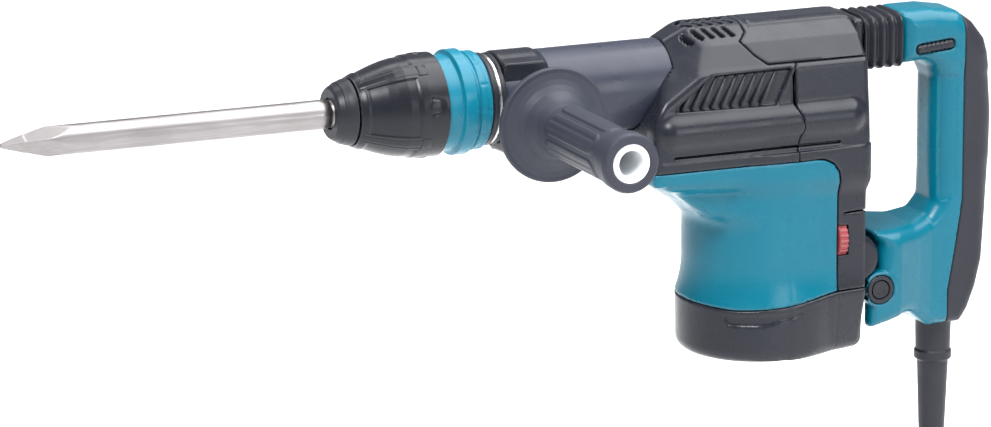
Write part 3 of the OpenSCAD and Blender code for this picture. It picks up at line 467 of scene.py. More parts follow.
def barMesh(name, half, bevel, slotName="grey_plastic", centre=(0, 0, 0), tilt=0.0):
    # a small bar with rounded edges, the base of slats, teeth and ribs
    work = bmesh.new()
    bmesh.ops.create_cube(work, size=1.0)
    for v in work.verts:
        v.co = Vector((v.co.x * 2 * half[0], v.co.y * 2 * half[1], v.co.z * 2 * half[2])) * mm
    bmesh.ops.bevel(work, geom=work.edges[:], offset=bevel * mm, segments=2, profile=0.5, affect="EDGES")
    c, s = math.cos(math.radians(tilt)), math.sin(math.radians(tilt))
    for v in work.verts:
        x, z = v.co.x, v.co.z
        v.co.x, v.co.z = c * x + s * z + centre[0] * mm, c * z - s * x + centre[2] * mm
        v.co.y += centre[1] * mm
    mesh = bpy.data.meshes.new(name)
    work.to_mesh(mesh)
    work.free()
    mesh.polygons.foreach_set("use_smooth", np.ones(len(mesh.polygons), bool))
    piece = bpy.data.objects.new(name, mesh)
    bpy.context.collection.objects.link(piece)
    piece.data.materials.append(finishes[slotName])
    return piece


# mains lead: down from the guard, three layers of a tied coil, off the coil's side and down to the plug
cordValues = {
    "radius": 4.5, "coilX": -99.0, "coilZ": -395.0, "layers": (63.5, 54.05, 44.6), "side": 14.0,
    "turns": 3, "stepTurn": 0.25, "tailY": 23.3, "tailEnd": -470.0, "sides": 16,
    "lead": [(-35.5, y, z) for y, z in ((0, -262), (0, -275), (-1.5, -290), (-4.9, -305), (-9.1, -320),
                                        (-12.5, -335), (-14, -350), (-14, -368), (-14, -382))],
}


def eased(t):
    return t * t * (3 - 2 * t)


def cordRoute(values):
    route = [np.array(p, float) for p in values["lead"]]
    layers, side, turns, stepTurn = values["layers"], values["side"], values["turns"], values["stepTurn"]
    angle, sign = 0.0, -1.0
    for number, radius in enumerate(layers):
        steps = int(turns * 40)
        for k in range(0 if number == 0 else 1, steps + 1):
            t = k / steps
            route.append(ringPoint(values, angle + t * turns, radius, sign * side * (1 - 2 * t)))
        angle += turns
        sign = -sign
        if radius != layers[-1]:
            inward = layers[number + 1] - radius
            for k in range(1, 10):
                t = k / 10
                route.append(ringPoint(values, angle + t * stepTurn, radius + eased(t) * inward, sign * side))
            angle += stepTurn
    # past the last turn the lead drifts off the coil's side while it comes round to the rear
    rest = math.ceil(angle + 0.12) - angle
    for k in range(1, 21):
        t = k / 20
        drift = sign * side + sign * eased(t) * (values["tailY"] - side)
        route.append(ringPoint(values, angle + t * rest, layers[-1], drift))
    bottom, x, y = values["tailEnd"], values["coilX"] + layers[-1], sign * values["tailY"]
    for k in range(1, 9):
        route.append(np.array([x, y, values["coilZ"] + (bottom - values["coilZ"]) * k / 8]))
    return np.array(route)


def ringPoint(values, turns, radius, y):
    a = -2 * math.pi * turns
    return np.array([values["coilX"] + radius * math.cos(a), y, values["coilZ"] + radius * math.sin(a)])


def sweptTube(name, route, radius, sides, slotName, body, replaced=()):
    tangent = np.gradient(route, axis=0)
    tangent /= np.linalg.norm(tangent, axis=1)[:, None]
    side = np.array([0.0, 1.0, 0.0])
    rings = []
    for p, t in zip(route, tangent):
        side = side - t * (side @ t)
        side /= np.linalg.norm(side)
        other = np.cross(t, side)
        a = np.arange(sides) * 2 * math.pi / sides
        rings.append(p + radius * (np.cos(a)[:, None] * side + np.sin(a)[:, None] * other))
    points = np.concatenate(rings + [route[:1], route[-1:]])
    quads = np.concatenate([ringFaces(len(route), sides), endFaces(len(route), sides)])
    return addPiece(name, points, quads, slotName, body, replaced)


route = cordRoute(cordValues)
mainsLead = sweptTube("mains_lead", route, cordValues["radius"], cordValues["sides"], "cord_rubber",
                      "rear_handle",
                      ("cord", "cord_coil"))

plugValues = {"x": -54.4, "y": 23.3, "top": -470.0, "length": 38.0, "body": 17.4, "neck": 7.0}


def makePlug(values):
    top, body, neck, length = values["top"], values["body"], values["neck"], values["length"]
    profile = [(top, 4.6), (top, neck - 1), (top - 12, neck), (top - 14, body - 3), (top - 18, body - 0.6),
               (top - 30, body), (top - length, body - 1.2), (top - length, 1.2), (top - 20, 1.2),
               (top - 4, 1.2)]

    def fingerGrooves(s, a, r):
        grooved = (s < top - 16) & (s > top - 33) & (r > 10)
        return r - np.where(grooved, 0.5 * (np.cos(24 * a) > 0.2), 0)

    return turned("mains_plug", profile, "black_rubber", "rear_handle", ("plug_body",), axis="z",
                  origin=(values["x"], values["y"], 0), radius=1.0, count=96, longest=1.5, shape=fingerGrooves)


plugPiece = makePlug(plugValues)

# stations of the front end are counted to the rear from the chuck's nose
nose = -449.0


def st(d):
    return nose + d


def fromNose(profile):
    return [(st(d), r) for d, r in profile]


# chisel: round ground stock with a forged four-sided point
chiselValues = {"tip": -659.0, "shankEnd": -361.0, "radius": 9.0, "point": 42.0, "tipHalf": 0.9,
                "edgeTurn": -25.0, "grooveFrom": 50.0, "grooveTo": 78.0, "grooveRadius": 3.3, "grooveAt": 10.0}


def makeChisel(values):
    tip, end, radius, point = values["tip"], values["shankEnd"], values["radius"], values["point"]
    stations = np.concatenate([tip + np.linspace(0, point + 10, 70),
                               np.arange(tip + point + 12, nose - 4, 4.0),
                               np.array([nose - 2.2, nose - 1.9, nose + 0.4, nose + 0.7]),
                               np.arange(nose + 3, end - 2, 1.0), np.array([end - 1.2, end - 0.6, end])])
    count = 96
    angle = ringAngles(count)
    x = stations[:, None]
    # the shank is a little slimmer than the stock and its rear edge is chamfered
    base = np.where(x > nose + 0.5, radius - 0.05, np.where(x > nose - 2, radius - 0.5, radius))
    base = base - np.clip(x - (end - 1.2), 0, 1.2) * 0.7
    # four flats run to the point, with their edges rounded over
    run = np.clip((x - tip) / point, 0, 1.4)
    half = values["tipHalf"] + (radius * 1.02 - values["tipHalf"]) * run ** 0.92
    turn = math.radians(values["edgeTurn"])
    quarter = (angle + turn + math.pi / 4) % (math.pi / 2) - math.pi / 4
    flat = half / np.cos(quarter)
    out = np.minimum(base, flat)
    out = out - 0.25 * np.maximum(0, 1 - np.abs(out - flat) / 0.6) * (run > 0.35)
    # the two retaining grooves
    grooved = (x > st(values["grooveFrom"])) & (x < st(values["grooveTo"]))
    grooveRadius = values["grooveRadius"]
    y = out * np.cos(angle)
    depth = values["grooveAt"] - np.sqrt(np.clip(grooveRadius ** 2 - y ** 2, 0, None))
    scoop = np.where((np.abs(y) < grooveRadius) & grooved, depth / np.maximum(np.abs(np.sin(angle)), 0.2),
                     99.0)
    out = np.minimum(out, scoop)
    x, out, angle = np.broadcast_arrays(x, out, angle)
    points = np.stack([x, out * np.cos(angle), out * np.sin(angle)], axis=-1).reshape(-1, 3)
    points = np.concatenate([points, [[tip, 0, 0], [end, 0, 0]]])
    quads = np.concatenate([ringFaces(len(stations), count), endFaces(len(stations), count)])
    return addPiece("point_chisel", points, quads, "forged_steel", "chisel", ("chisel",))


makeChisel(chiselValues)

# chuck: dust cap, release cover with its panels, change ring, neck rings
dustProfile = fromNose([(0, 9.7), (0, 15.2), (1.5, 16.5), (4.6, 18.1), (5.0, 18.6), (10, 20.3), (12, 20.6),
                        (12, 13.3), (3.7, 13.3), (3.7, 9.7)])
turned("dust_lip", dustProfile, "black_rubber", "tool_holder", ("dust_cap",), radius=0.35, longest=1.0,
       shape=lambda s, a, r: r - 0.25 * np.exp(-((s - st(7.4)) / 0.35) ** 2) * (r > 15))

coverValues = {"panelTurn": 170.0, "panelHalf": 36.0, "panelStart": 17.5, "panelEnd": 49.0, "recess": 0.85,
               "grooveAt": 39.0, "grooveStart": 14.5, "grooveEnd": 56.0, "tabStation": 57.5, "tabRadius": 5.2}


def coverShape(station, angle, out):
    v = coverValues
    local = (np.degrees(angle) - v["panelTurn"] + 45) % 90 - 45
    d = station - nose
    inPanel = np.clip((v["panelHalf"] - np.abs(local)) / 1.6, 0, 1)
    inPanel = inPanel * np.clip((d - v["panelStart"]) / 1.2, 0, 1) * np.clip((v["panelEnd"] - d) / 1.2, 0, 1)
    shift = -v["recess"] * inPanel
    groove = np.exp(-((np.abs(local) - v["grooveAt"]) / 0.9) ** 2)
    groove = groove * np.clip(d - v["grooveStart"], 0, 1) * np.clip(v["grooveEnd"] - d, 0, 1)
    shift = shift - 0.35 * groove
    shift = shift - 0.45 * np.exp(-((d - 13.8) / 0.5) ** 2)
    across, alongTab = np.radians(local) * out, d - v["tabStation"]
    reach = np.hypot(across, alongTab)
    shift = shift + 0.35 * np.clip((v["tabRadius"] - 1.4 - reach) / 0.6, 0, 1)
    shift = shift - 1.1 * np.clip(1 - (np.abs(reach - v["tabRadius"]) / 1.0) ** 2, 0, 1) * (alongTab > -1.5)
    outside = np.interp(d, [13, 18, 24, 30, 36, 42, 54, 66.6],
                        [20.4, 22.6, 24.8, 26.9, 28.6, 29.9, 30.8, 31.0])
    return out + shift * (out > outside)


coverProfile = fromNose([(13, 19.2), (13, 21.4), (18, 23.6), (24, 25.8), (30, 27.9), (36, 29.6), (42, 30.9),
                         (54, 31.8), (66.6, 32.0), (66.6, 30.2), (52, 29.0), (52, 16.9), (60, 16.9),
                         (60, 13.6),
                         (46, 13.6), (46, 28.0), (36, 26.6), (30, 25.0), (24, 23.0)])
turned("release_cover_shell", coverProfile, "chuck_plastic", "release_cover", ("release_cover",), radius=0.5,
       count=360, longest=1.0, shape=coverShape)

# four sight windows between the panels, each bent to the cover's round
windowValues = {"station": 53.5, "half": (3.0, 4.2, 0.7), "radius": 31.45, "turn": 125.0, "count": 4}
windowBar = barMesh("sight_window", windowValues["half"], 0.5, centre=(st(windowValues["station"]), 0, 0))
for v in windowBar.data.vertices:
    away = windowValues["radius"] * mm + v.co.z
    swing = math.radians(windowValues["turn"]) + v.co.y / (windowValues["radius"] * mm)
    v.co.y, v.co.z = away * math.cos(swing), away * math.sin(swing)
repeated(windowBar, "grey_plastic", "release_cover", windowValues["count"], turn=(90, 0, 0))

changeProfile = fromNose([(67.2, 26.6), (67.2, 29.3), (76.0, 29.7), (77.2, 32.4), (84.8, 32.5), (86.4, 29.7),
                          (87.6, 29.6), (88.2, 30.6), (94.6, 30.4), (95.7, 29.4), (95.7, 26.5), (88, 26.5),
                          (88, 17.4), (84, 17.4), (84, 26.5)])


def changeShape(station, angle, out):
    ring = 0.55 * np.exp(-((station - st(91.6)) / 0.45) ** 2) * (out > 28)
    notches = (np.cos(12 * angle) > 0.93) & (station > st(88.6)) & (station < st(94)) & (out > 28)
    return out - ring - 0.35 * notches


turned("change_ring_shell", changeProfile, "change_teal", "change_ring", ("change_ring",), radius=0.55,
       count=256, longest=0.9, shape=changeShape)

for name, a, b, r in (("neck_seal_front", 96.3, 101.0, 28.4), ("neck_seal_rear", 103.2, 106.6, 28.0)):
    turned(name, [(st(a), 24.1), (st(a), r - 0.8), (st(a) + 0.9, r), (st(b) - 0.9, r), (st(b), r - 0.8),
                  (st(b), 24.1)],
           "black_rubber", "housing", ("neck_seal_rings",) if a < 100 else (), radius=0.5,
           longest=0.5, shape=lambda s, a, r: r - 0.18 * np.cos((s - nose) * 2.6) * (r > 27))
turned("neck_ring", fromNose([(101.1, 24.1), (101.1, 27.2), (101.5, 27.5), (102.7, 27.5), (103.1, 27.2),
                              (103.1, 24.1)]),
       "bright_steel", "housing", ("neck_steel_ring",), radius=0.2)

# barrel: coated casting with a chamfered shoulder and a shallow parting ring
barrelProfile = fromNose([(96, 17.2), (112.5, 17.2), (112.5, 19.2), (137, 19.2), (137, 24.0), (218, 24.0),
                          (218, 27.5), (137.2, 27.5), (135.6, 26.0), (135.5, 24.0), (96, 24.0)])
turned("barrel", barrelProfile, "barrel_coating", "housing", ("barrel_housing",), radius=0.6, count=192,
       longest=2.0, shape=lambda s, a, r: r - 0.3 * np.exp(-((s - st(143)) / 0.6) ** 2) * (r > 27))

collarValues = {"middle": -328.0, "half": 14.0, "seat": 24.05, "edge": 2.2, "boltZ": -5.0, "boltRadius": 5.1,
                "boss": [(0, 28.9), (-44, 20), (-51, 17), (-51, -27), (-44, -30), (0, -32)],
                "foot": [(0, -32), (14, -30), (22, -20), (0, -10)]}


def collarField(x, y, z):
    v = collarValues
    section = np.minimum(np.hypot(y, z) - 29, outline(v["boss"], y, z))
    section = roundMin(section, outline(v["foot"], y, z), 2)
    form = roundMax(section, np.abs(x - v["middle"]) - v["half"], v["edge"])
    form = np.maximum(form, v["seat"] - np.hypot(y, z))
    bolt = np.maximum(v["boltRadius"] - np.hypot(x - v["middle"], z - v["boltZ"]), -(y + 20))
    form = np.maximum(form, bolt)
    split = boxField(x, y, z, (v["middle"], -41, v["boltZ"]), (20, 19, 0.9), 0.4)
    return roundMax(form, -split, 0.5)


moulded("handle_collar", collarField, (-343, -52, -33), (-313, 30, 30), 1.0, "dark_plastic", "side_handle",
        ("clamp_collar",))
print("front end made")

# side handle: white core, dished guard disc and a grip with six panels, one of them smooth
gripValues = {"axisX": -328.0, "axisZ": -5.0, "panelStart": 85.0, "panelEnd": 152.0, "panelHalf": 24.0,
              "rise": 0.95, "ribs": 3, "ribRise": 0.55, "smoothPanel": 90.0}
gripOrigin = (gripValues["axisX"], 0, gripValues["axisZ"])


def gripShape(along, angle, out):
    v = gripValues
    local = (np.degrees(angle) - v["smoothPanel"] + 30) % 60 - 30
    which = np.round((np.degrees(angle) - v["smoothPanel"] - local) / 60) % 6
    middle, half = (v["panelStart"] + v["panelEnd"]) / 2, (v["panelEnd"] - v["panelStart"]) / 2
    across = np.abs(local) * math.pi / 180 * out
    wide = v["panelHalf"] * math.pi / 180 * out
    px, py = np.abs(along - middle) - half + 6, across - wide + 6
    field = np.hypot(np.maximum(px, 0), np.maximum(py, 0)) + np.minimum(np.maximum(px, py), 0) - 6
    plate = np.clip(0.5 - field / 0.9, 0, 1)
    inner = np.clip(-(field + 2.0) / 1.0, 0, 1)
    ribs = 0.5 + 0.5 * np.cos(local / v["panelHalf"] * math.pi * (v["ribs"] + 0.2))
    shift = v["rise"] * plate - v["ribRise"] * inner * (1 - ribs) * (which != 0)
    return out + np.where(out > 13.5, shift - 0.55, 0) * (along > 76)


gripProfile = [(56.6, 12.2), (56.8, 24), (57.4, 29.5), (59.0, 34.6), (60.6, 35.5), (62.6, 35.5), (63.8, 34.8),
               (63.4, 32.4), (64.0, 28.5), (65.6, 25.5), (68.2, 22.0), (74.5, 18.2), (82, 16.6), (120, 16.6),
               (156, 16.6), (159.5, 17.0), (162.5, 18.6), (171, 18.9), (173.4, 18.0), (174, 16.8), (174, 12.1)]
tubeProfile = [(51.4, 5.2), (51.4, 19.4), (52.2, 20), (55.8, 20), (56.4, 19.4), (56.4, 12.0), (173.2, 12.0),
               (173.9, 11.4), (173.9, 8.6), (173.2, 8.0), (110, 8.0), (110, 5.2)]
turned("side_grip_cover", gripProfile, "grip_rubber", "side_grip", ("side_grip_rubber",), axis="-y",
       origin=gripOrigin, radius=1.0, count=252, longest=1.15, shape=gripShape)
turned("side_grip_tube", tubeProfile, "core_white", "side_grip", ("side_grip_core",), axis="-y",
       origin=gripOrigin, radius=0.4, count=96, longest=4.0)

# body: the upper housing and the motor stage are one moulded form, cut into its covers along the seams
bodyValues = {"wall": 4.4, "seam": 0.22, "seamEdge": 0.7, "deck": -48.0, "frontEdge": 3.0,
              "ribY": 36.3, "ribZ": -24.0, "ribRadius": 12.5, "ribFrom": -238.0, "ribTo": -118.0}
upperSide = softened([(-252, -62), (-252, -30), (-249, -13), (-245, -5), (-238, 8.5), (-233, 26.5),
                      (-219, 33.6), (-212, 36.5), (-112, 36.5),
                      (-106, 35.5), (-104, 32), (-104, -62)], 3.0, support=0)
upperSection = softened([(-60, 36.5), (9, 36.5), (27, 25.5), (36.5, 13.5), (40, 10), (42, -10), (43.5, -22),
                         (44.6, -36), (45, -62), (-60, -62)],
                        3.0, support=0)
shoulderSide = softened([(-252, -30), (-252, -52), (-247, -57), (-240, -61), (-200, -64), (-104, -66),
                         (-104, -30)], 3.0, support=0)
noseSide = softened([(-252, -30), (-252, -52), (-247, -57), (-234, -63), (-222, -73), (-209, -82), (-180, -86),
                     (-180, -30)], 3.0, support=0)
tealRegion = [(-300, -48), (-143, -48), (-136, -49), (-130.5, -52), (-127, -57), (-125.6, -63), (-125.5, -180),
              (-300, -180)]
topRegion = [(-179.5, 70), (-179.5, 30), (-186, 26), (-179, 18), (-172, 12.8), (-90, 12.5), (-90, 70)]
rearRegion = [(-153, 12.5), (-156.5, 5), (-156.8, -12), (-153, -19), (-151.5, -26), (-154.5, -38), (-155, -48),
              (-90, -48), (-90, 12.5)]
louvrePanel = softened([(-239, -10.5), (-212, 9.5), (-156.5, 10.5), (-168.5, -12)], 1.8, support=0)
smileSlot = [(-199, -145.2), (-197, -150.6), (-178, -150.4), (-156, -146.6), (-152.5, -143.4)]

# places that several pieces share: the handle's pivot, the round seat above it, the motor's axis, the dial
pivotX, pivotZ, pivotBoss = -91, -139, (-91, 0, -139)
seatX, seatZ = -108, -118
motorX = -161
dialValues = {"x": -121.3, "y": -31.4, "z": -102.5, "rim": 12.5, "half": 2.9, "teeth": 24}


def upperForm(x, a, z):
    v = bodyValues
    form = roundMax(outline(upperSide, x, z), outline(upperSection, a, z), v["frontEdge"])
    form = roundMax(form, -0.418 * (x + 240) + 0.573 * (a - 26) + 0.706 * (z - 8), 2.0)
    past = x - np.clip(x, v["ribFrom"], v["ribTo"])
    rib = np.sqrt(past ** 2 + (a - v["ribY"]) ** 2 + (z - v["ribZ"]) ** 2) - v["ribRadius"]
    form = roundMin(form, rib, 2.2)
    line = boxField(x, a, z, (-182, 45.5, -38.6), (57, 4, 0.75), 0.3)
    return roundMax(form, -line, 0.4)


def motorPlan(x, a, radius, sideHalf, rearHalf):
    barrel = roundMax(np.hypot(x - motorX, a) - radius, a - sideHalf, 4)
    corners = [(motorX, -70), (motorX, sideHalf - 1.0), (-104, rearHalf), (-104, -70)]
    return roundMin(barrel, outline(softened(corners, 4.0, support=0), x, a), 3)


def motorForm(x, a, z):
    flare = np.clip((-115 - z) / 24, 0, 1) ** 2.2
    plan = (1 - flare) * motorPlan(x, a, 47, 46.4, 40.5) + flare * motorPlan(x, a, 51, 50.6, 41.5)
    shoulder = roundMax(outline(shoulderSide, x, z), a - 45, 7)
    wedge = roundMax(outline(noseSide, x, z), a - 38, 6)
    return roundMin(roundMin(shoulder, wedge, 4), plan, 9)


def wholeForm(x, a, z):
    upper = roundMax(upperForm(x, a, z), -z - 56, 0.5)
    motor = roundMax(motorForm(x, a, z), z + 42, 0.5)
    return roundMin(upper, motor, 1.2)


def splitHeight(x):
    return np.interp(x, [-225, -195, -162, -126], [-138.4, -141.0, -139.4, -134.6])


def mainCoverField(x, y, z):
    v = bodyValues
    a = np.abs(y)
    form = wholeForm(x, a, z)
    inner = form + v["wall"]
    pocket = np.maximum(outline(louvrePanel, x, z), -(form + 3.3))
    skin = roundMax(form, -pocket, 0.7)
    for row in (0, 1):
        for i in range(5):
            middle = (-214 + 7 * i - 4 * row, 5.5 + 11 * row, 33 - 6 * row)
            slot = boxField(x, a, z, middle, (1.45, 4.9, 10), 1.3, turnZ=-30)
            skin = roundMax(skin, -slot, 0.35)
    skin = roundMax(skin, -inner, 0.3)
    for cut in (outline(topRegion, x, z), outline(rearRegion, x, z)):
        skin = roundMax(skin, -(cut - v["seam"]), v["seamEdge"])
    skin = roundMax(skin, v["deck"] + v["seam"] - z, v["seamEdge"])
    bore = np.maximum(np.hypot(y, z) - 27.9, x + 230.6)
    return roundMax(skin, -bore, 0.5)


def topCoverField(x, y, z):
    v = bodyValues
    a = np.abs(y)
    form = wholeForm(x, a, z)
    step = np.maximum(-174.5 - x, a - 14.5)
    ridge = np.abs(step) - 0.45
    skin = roundMax(form, -np.maximum(ridge, -(form + 0.7)), 0.25)
    skin = roundMax(skin, -(form + v["wall"]), 0.3)
    return roundMax(skin, outline(topRegion, x, z) + v["seam"], v["seamEdge"])


lugSide = [(-112, -127), (-91, -127), (-80, -133), (-79.2, -139), (-80, -145), (-91, -151), (-112, -146)]


def rearCoverField(x, y, z):
    v = bodyValues
    a = np.abs(y)
    form = wholeForm(x, a, z)
    skin = roundMax(form, -(form + v["wall"]), 0.3)
    behindTeal = np.maximum(-(outline(tealRegion, x, z) - 2 * v["seam"]), z + 47)
    region = np.minimum(outline(rearRegion, x, z), behindTeal)
    region = np.maximum(region, -154.8 - x)
    skin = roundMax(skin, region + v["seam"], v["seamEdge"])
    skin = roundMax(skin, splitHeight(x) + v["seam"] - z, v["seamEdge"])
    line = boxField(x, a, z, (-112, 42, -85), (9, 8, 0.5), 0.2)
    skin = roundMax(skin, -line, 0.3)
    collar = boxField(x, y, z, (-100.4, 0, 15), (4.4, 19, 17), 4.0)
    collar = roundMax(collar, -boxField(x, y, z, (-100, 0, 15), (9, 13, 12), 2.0), 0.6)
    collar = np.maximum(collar, np.where(z > 12, -103.6 - x, -9.0))
    skin = roundMin(skin, collar, 0.6)
    bulge = roundMax(np.hypot(x - seatX, z - seatZ) - 16, a - 35, 3.5)
    lug = roundMax(outline(lugSide, x, z) - 1.5, a - 25.2, 1.5)
    lug = roundMin(bulge, lug, 3)
    lug = np.maximum(lug, -106.6 - x)
    skin = roundMin(skin, lug, 2.0)
    pivot = np.maximum(np.hypot(x - pivotX, z - pivotZ) - 12.6, 25.4 - a)
    skin = roundMax(skin, -pivot, 0.7)
    dial = np.hypot(y - dialValues["y"], z - dialValues["z"]) - 13.7
    dial = np.maximum(dial, np.abs(x - dialValues["x"]) - 3.8)
    return roundMax(skin, -dial, 0.5)


def motorHousingField(x, y, z):
    v = bodyValues
    form = wholeForm(x, np.abs(y), z)
    skin = roundMax(form, -(form + 3.2), 0.3)
    skin = roundMax(skin, outline(tealRegion, x, z) + v["seam"], v["seamEdge"])
    return roundMax(skin, splitHeight(x) + v["seam"] - z, 0.9)


def endCoverField(x, y, z):
    v = bodyValues
    a = np.abs(y)
    drop = np.clip((-138 - z) / 37, 0, 1)
    plan = motorPlan(x, a, 51, 50.6, 41.5) * (1 - drop) + motorPlan(x, a, 50.2, 49.6, 35) * drop
    form = roundMax(plan, -175 - z, 7.5)
    inner = roundMax(plan + 4.5, -170.5 - z, 5)
    smile = np.maximum(outline(smileSlot, x, z), -(form + 1.1))
    skin = roundMax(form, -smile, 0.3)
    rearLine = boxField(x, a, z, (-125.6, 45, -157), (0.4, 30, 30), 0.2)
    skin = roundMax(skin, -np.maximum(rearLine, -(form + 0.6)), 0.3)
    skin = np.maximum(skin, -inner)
    skin = roundMax(skin, z - (splitHeight(x) - v["seam"]), 0.8)
    pivot = np.maximum(np.hypot(x - pivotX, z - pivotZ) - 12.6, 25.4 - a)
    return roundMax(skin, -pivot, 0.7)


moulded("main_cover_shell", mainCoverField, (-253, -50, -49), (-150, 50, 38), 1.0, "dark_plastic",
        "housing", ("main_cover",))
moulded("top_cover_shell", topCoverField, (-190, -40, 11), (-103, 40, 38), 1.0, "dark_plastic",
        "housing", ("top_cover",))
moulded("rear_cover_shell", rearCoverField, (-159, -50, -142), (-78, 50, 33), 1.15, "dark_plastic",
        "housing", ("rear_cover",))
moulded("motor_shell", motorHousingField, (-253, -52, -142), (-124, 52, -47), 1.3, "teal_plastic",
        "housing", ("motor_housing",))
moulded("end_cover_shell", endCoverField, (-213, -52, -176), (-103, 52, -133), 1.2, "dark_plastic",
        "housing", ("motor_end_cover",))
print("body covers made")

# louvre slats in the side pockets
louvreValues = {"count": 9, "first": -226.0, "pitch": 6.7, "tilt": 32.0, "half": (1.05, 1.35, 11.0),
                "lean": 0.225, "out": 38.6, "z": -0.7}
for side in (-1, 1):
    slat = barMesh("louvre_near" if side < 0 else "louvre_far", louvreValues["half"], 0.5,
                   tilt=louvreValues["tilt"])
    for v in slat.data.vertices:
        v.co.y -= side * louvreValues["lean"] * v.co.z
    repeated(slat, "dark_plastic", "housing", louvreValues["count"], step=(louvreValues["pitch"], 0, 0),
             centre=(louvreValues["first"], side * louvreValues["out"], louvreValues["z"]))

# handle: hollow moulded frame, soft back, and the bush at its pivot
handleValues = {"wall": 3.5, "grip": 19.3, "upperArm": 20.4, "gripEdge": 14.5, "armEdge": 7.0}
handleSide = softened([(-70, 33), (-47, 33), (-29, 30), (-18, 22), (-9.5, 11), (-4.5, -7), (-2.2, -38),
                       (-2.8, -66), (-6, -98), (-9.5, -130), (-14, -149),
                       (-19.5, -163), (-25, -171), (-48.5, -171), (-64, -159), (-70, -158), (-98, -165),
                       (-98, -147), (-90, -127), (-88, -112),
                       (-95, -103), (-62, -103), (-50, -99), (-44.5, -91), (-45, -60), (-45, -12), (-48, -4),
                       (-54, 0), (-70, -1.5)], 4.0, support=0)
padSide = [(-26, 60), (-26, -91), (-31, -123), (-35.5, -149), (-35.5, -195), (20, -195), (20, 60)]
gripPanel = softened([(-41.5, -9), (-31, -9), (-31, -88), (-41, -92)], 3.0, support=0)


def handleForm(x, a, z):
    v = handleValues
    low = np.clip((-90 - z) / 14, 0, 1)
    low = low * low * (3 - 2 * low)
    high = np.clip((z + 12) / 14, 0, 1)
    arm = np.interp(x, [-82, -76, -58, -48, -40], [35, 34, 24.5, 20.4, 19.4])
    half = (1 - low) * (v["grip"] + high * (v["upperArm"] - v["grip"])) + low * arm
    fade = np.clip((-72 - z) / 62, 0, 1)
    edge = (1 - fade) * (v["gripEdge"] - high * 3.5) + fade * v["armEdge"]
    side = np.maximum(outline(handleSide, x, z), 18.2 - np.hypot(x - seatX, z - seatZ))
    return roundMax(side, a - half, edge)


def handleSkin(x, y, z):
    v = handleValues
    a = np.abs(y)
    form = handleForm(x, a, z)
    panel = np.maximum(np.maximum(outline(gripPanel, x, z), -(form + 0.6)), 6 - a)
    skin = roundMax(form, -panel, 0.3)
    skin = roundMax(skin, -(form + v["wall"]), 0.4)
    fork = np.maximum(np.maximum(a - 25.9, x + 76), z + 121)
    skin = roundMax(skin, -fork, 0.5)
    boss = roundMax(np.hypot(x - pivotX, z - pivotZ) - 11.4, np.abs(a - 30.65) - 4.8, 0.9)
    skin = roundMin(skin, boss, 0.4)
    bush = np.maximum(np.hypot(x - pivotX, z - pivotZ) - 9.5, 24 - a)
    skin = roundMax(skin, -bush, 0.5)
    lever = boxField(x, y, z, (-47, 0, 9.7), (13.9, 60, 3.5), 3.3, turnY=-5)
    skin = roundMax(skin, -lever, 0.8)
    guard = np.maximum(np.hypot(x + 35.5, y) - 12.1, z + 165)
    return roundMax(skin, -guard, 0.6)


def handleFrameField(x, y, z):
    return roundMax(handleSkin(x, y, z), -(outline(padSide, x, z) - 0.15), 0.6)


def handlePadField(x, y, z):
    return roundMax(handleSkin(x, y, z), outline(padSide, x, z) + 0.15, 0.9)


moulded("handle_frame_shell", handleFrameField, (-99, -36, -172), (-24, 36, 34), 1.15, "teal_plastic",
        "rear_handle", ("handle_frame",))
moulded("handle_pad", handlePadField, (-37, -23, -172), (1, 23, 34), 1.1, "dark_rubber",
        "rear_handle", ("handle_back_cover",))


def leverField(x, y, z):
    form = boxField(x, y, z, (-47, 0, 9.7), (13.3, 21.3, 2.9), 2.7, turnY=-5)
    a = np.abs(y)
    ribs = np.where((a > 19.0) & (np.abs(x + 47) < 9.0), 0.35 * np.cos((x + 47) * 2.1), 0)
    return form + ribs


moulded("lever_bar", leverField, (-61, -22, 5), (-33, 22, 15), 0.55, "black_rubber", "switch_lever",
        ("switch_lever",))
bushProfile = [(26.2, 4.1), (26.2, 9.2), (34.6, 9.2), (35.3, 8.6), (35.3, 6.6), (33.4, 5.9), (32.2, 5.8),
               (32.2, 4.1)]
capProfile = [(34.35, 0.0004), (34.35, 5.7), (34.9, 5.5), (34.9, 3.2), (34.5, 2.4), (34.5, 0.0004)]
for side, name in ((-1, "near"), (1, "far")):
    turned("pivot_bush_" + name, [(side * p, r) for p, r in bushProfile], "grey_plastic", "rear_handle",
           ("pivot_bushes",) if side < 0 else (), axis="y", origin=pivotBoss, radius=0.35, count=96)
    turned("pivot_cap_" + name, [(side * p, r) for p, r in capProfile], "black_rubber", "rear_handle",
           axis="y", origin=pivotBoss, radius=0.2, count=64)
print("handle made")

# boot: a moulded bellows of rounded-square section between the collar and the handle
bootValues = {"front": -96.4, "back": -70.2, "half": (20.3, 17.8), "fold": 2.6, "folds": 4, "wall": 2.4,
              "centreZ": 15.0, "corner": 0.42}


def makeBoot(values):
    count, m = 120, 90
    s = np.linspace(0, 1, m)[:, None]
    angle = ringAngles(count)
    wave = 0.5 + 0.5 * np.cos(2 * math.pi * values["folds"] * s)
    wave = wave ** 0.7
    shrink = values["fold"] * (1 - wave)
    rings = []
    for inward in (0.0, values["wall"]):
        hy, hz = values["half"][0] - shrink - inward, values["half"][1] - shrink - inward
        c, w = np.cos(angle), np.sin(angle)
        y = hy * np.sign(c) * np.abs(c) ** values["corner"]
        z = hz * np.sign(w) * np.abs(w) ** values["corner"]
        x = values["front"] + (values["back"] - values["front"]) * s
        x, y, z = np.broadcast_arrays(x, y, z)
        rings.append(np.stack([x, y, z + values["centreZ"]], axis=-1))
    rings = np.concatenate([rings[0], rings[1][::-1]])
    quads = ringFaces(len(rings), count, loop=True)
    return addPiece("boot_bellows", rings.reshape(-1, 3), quads, "black_rubber", None)


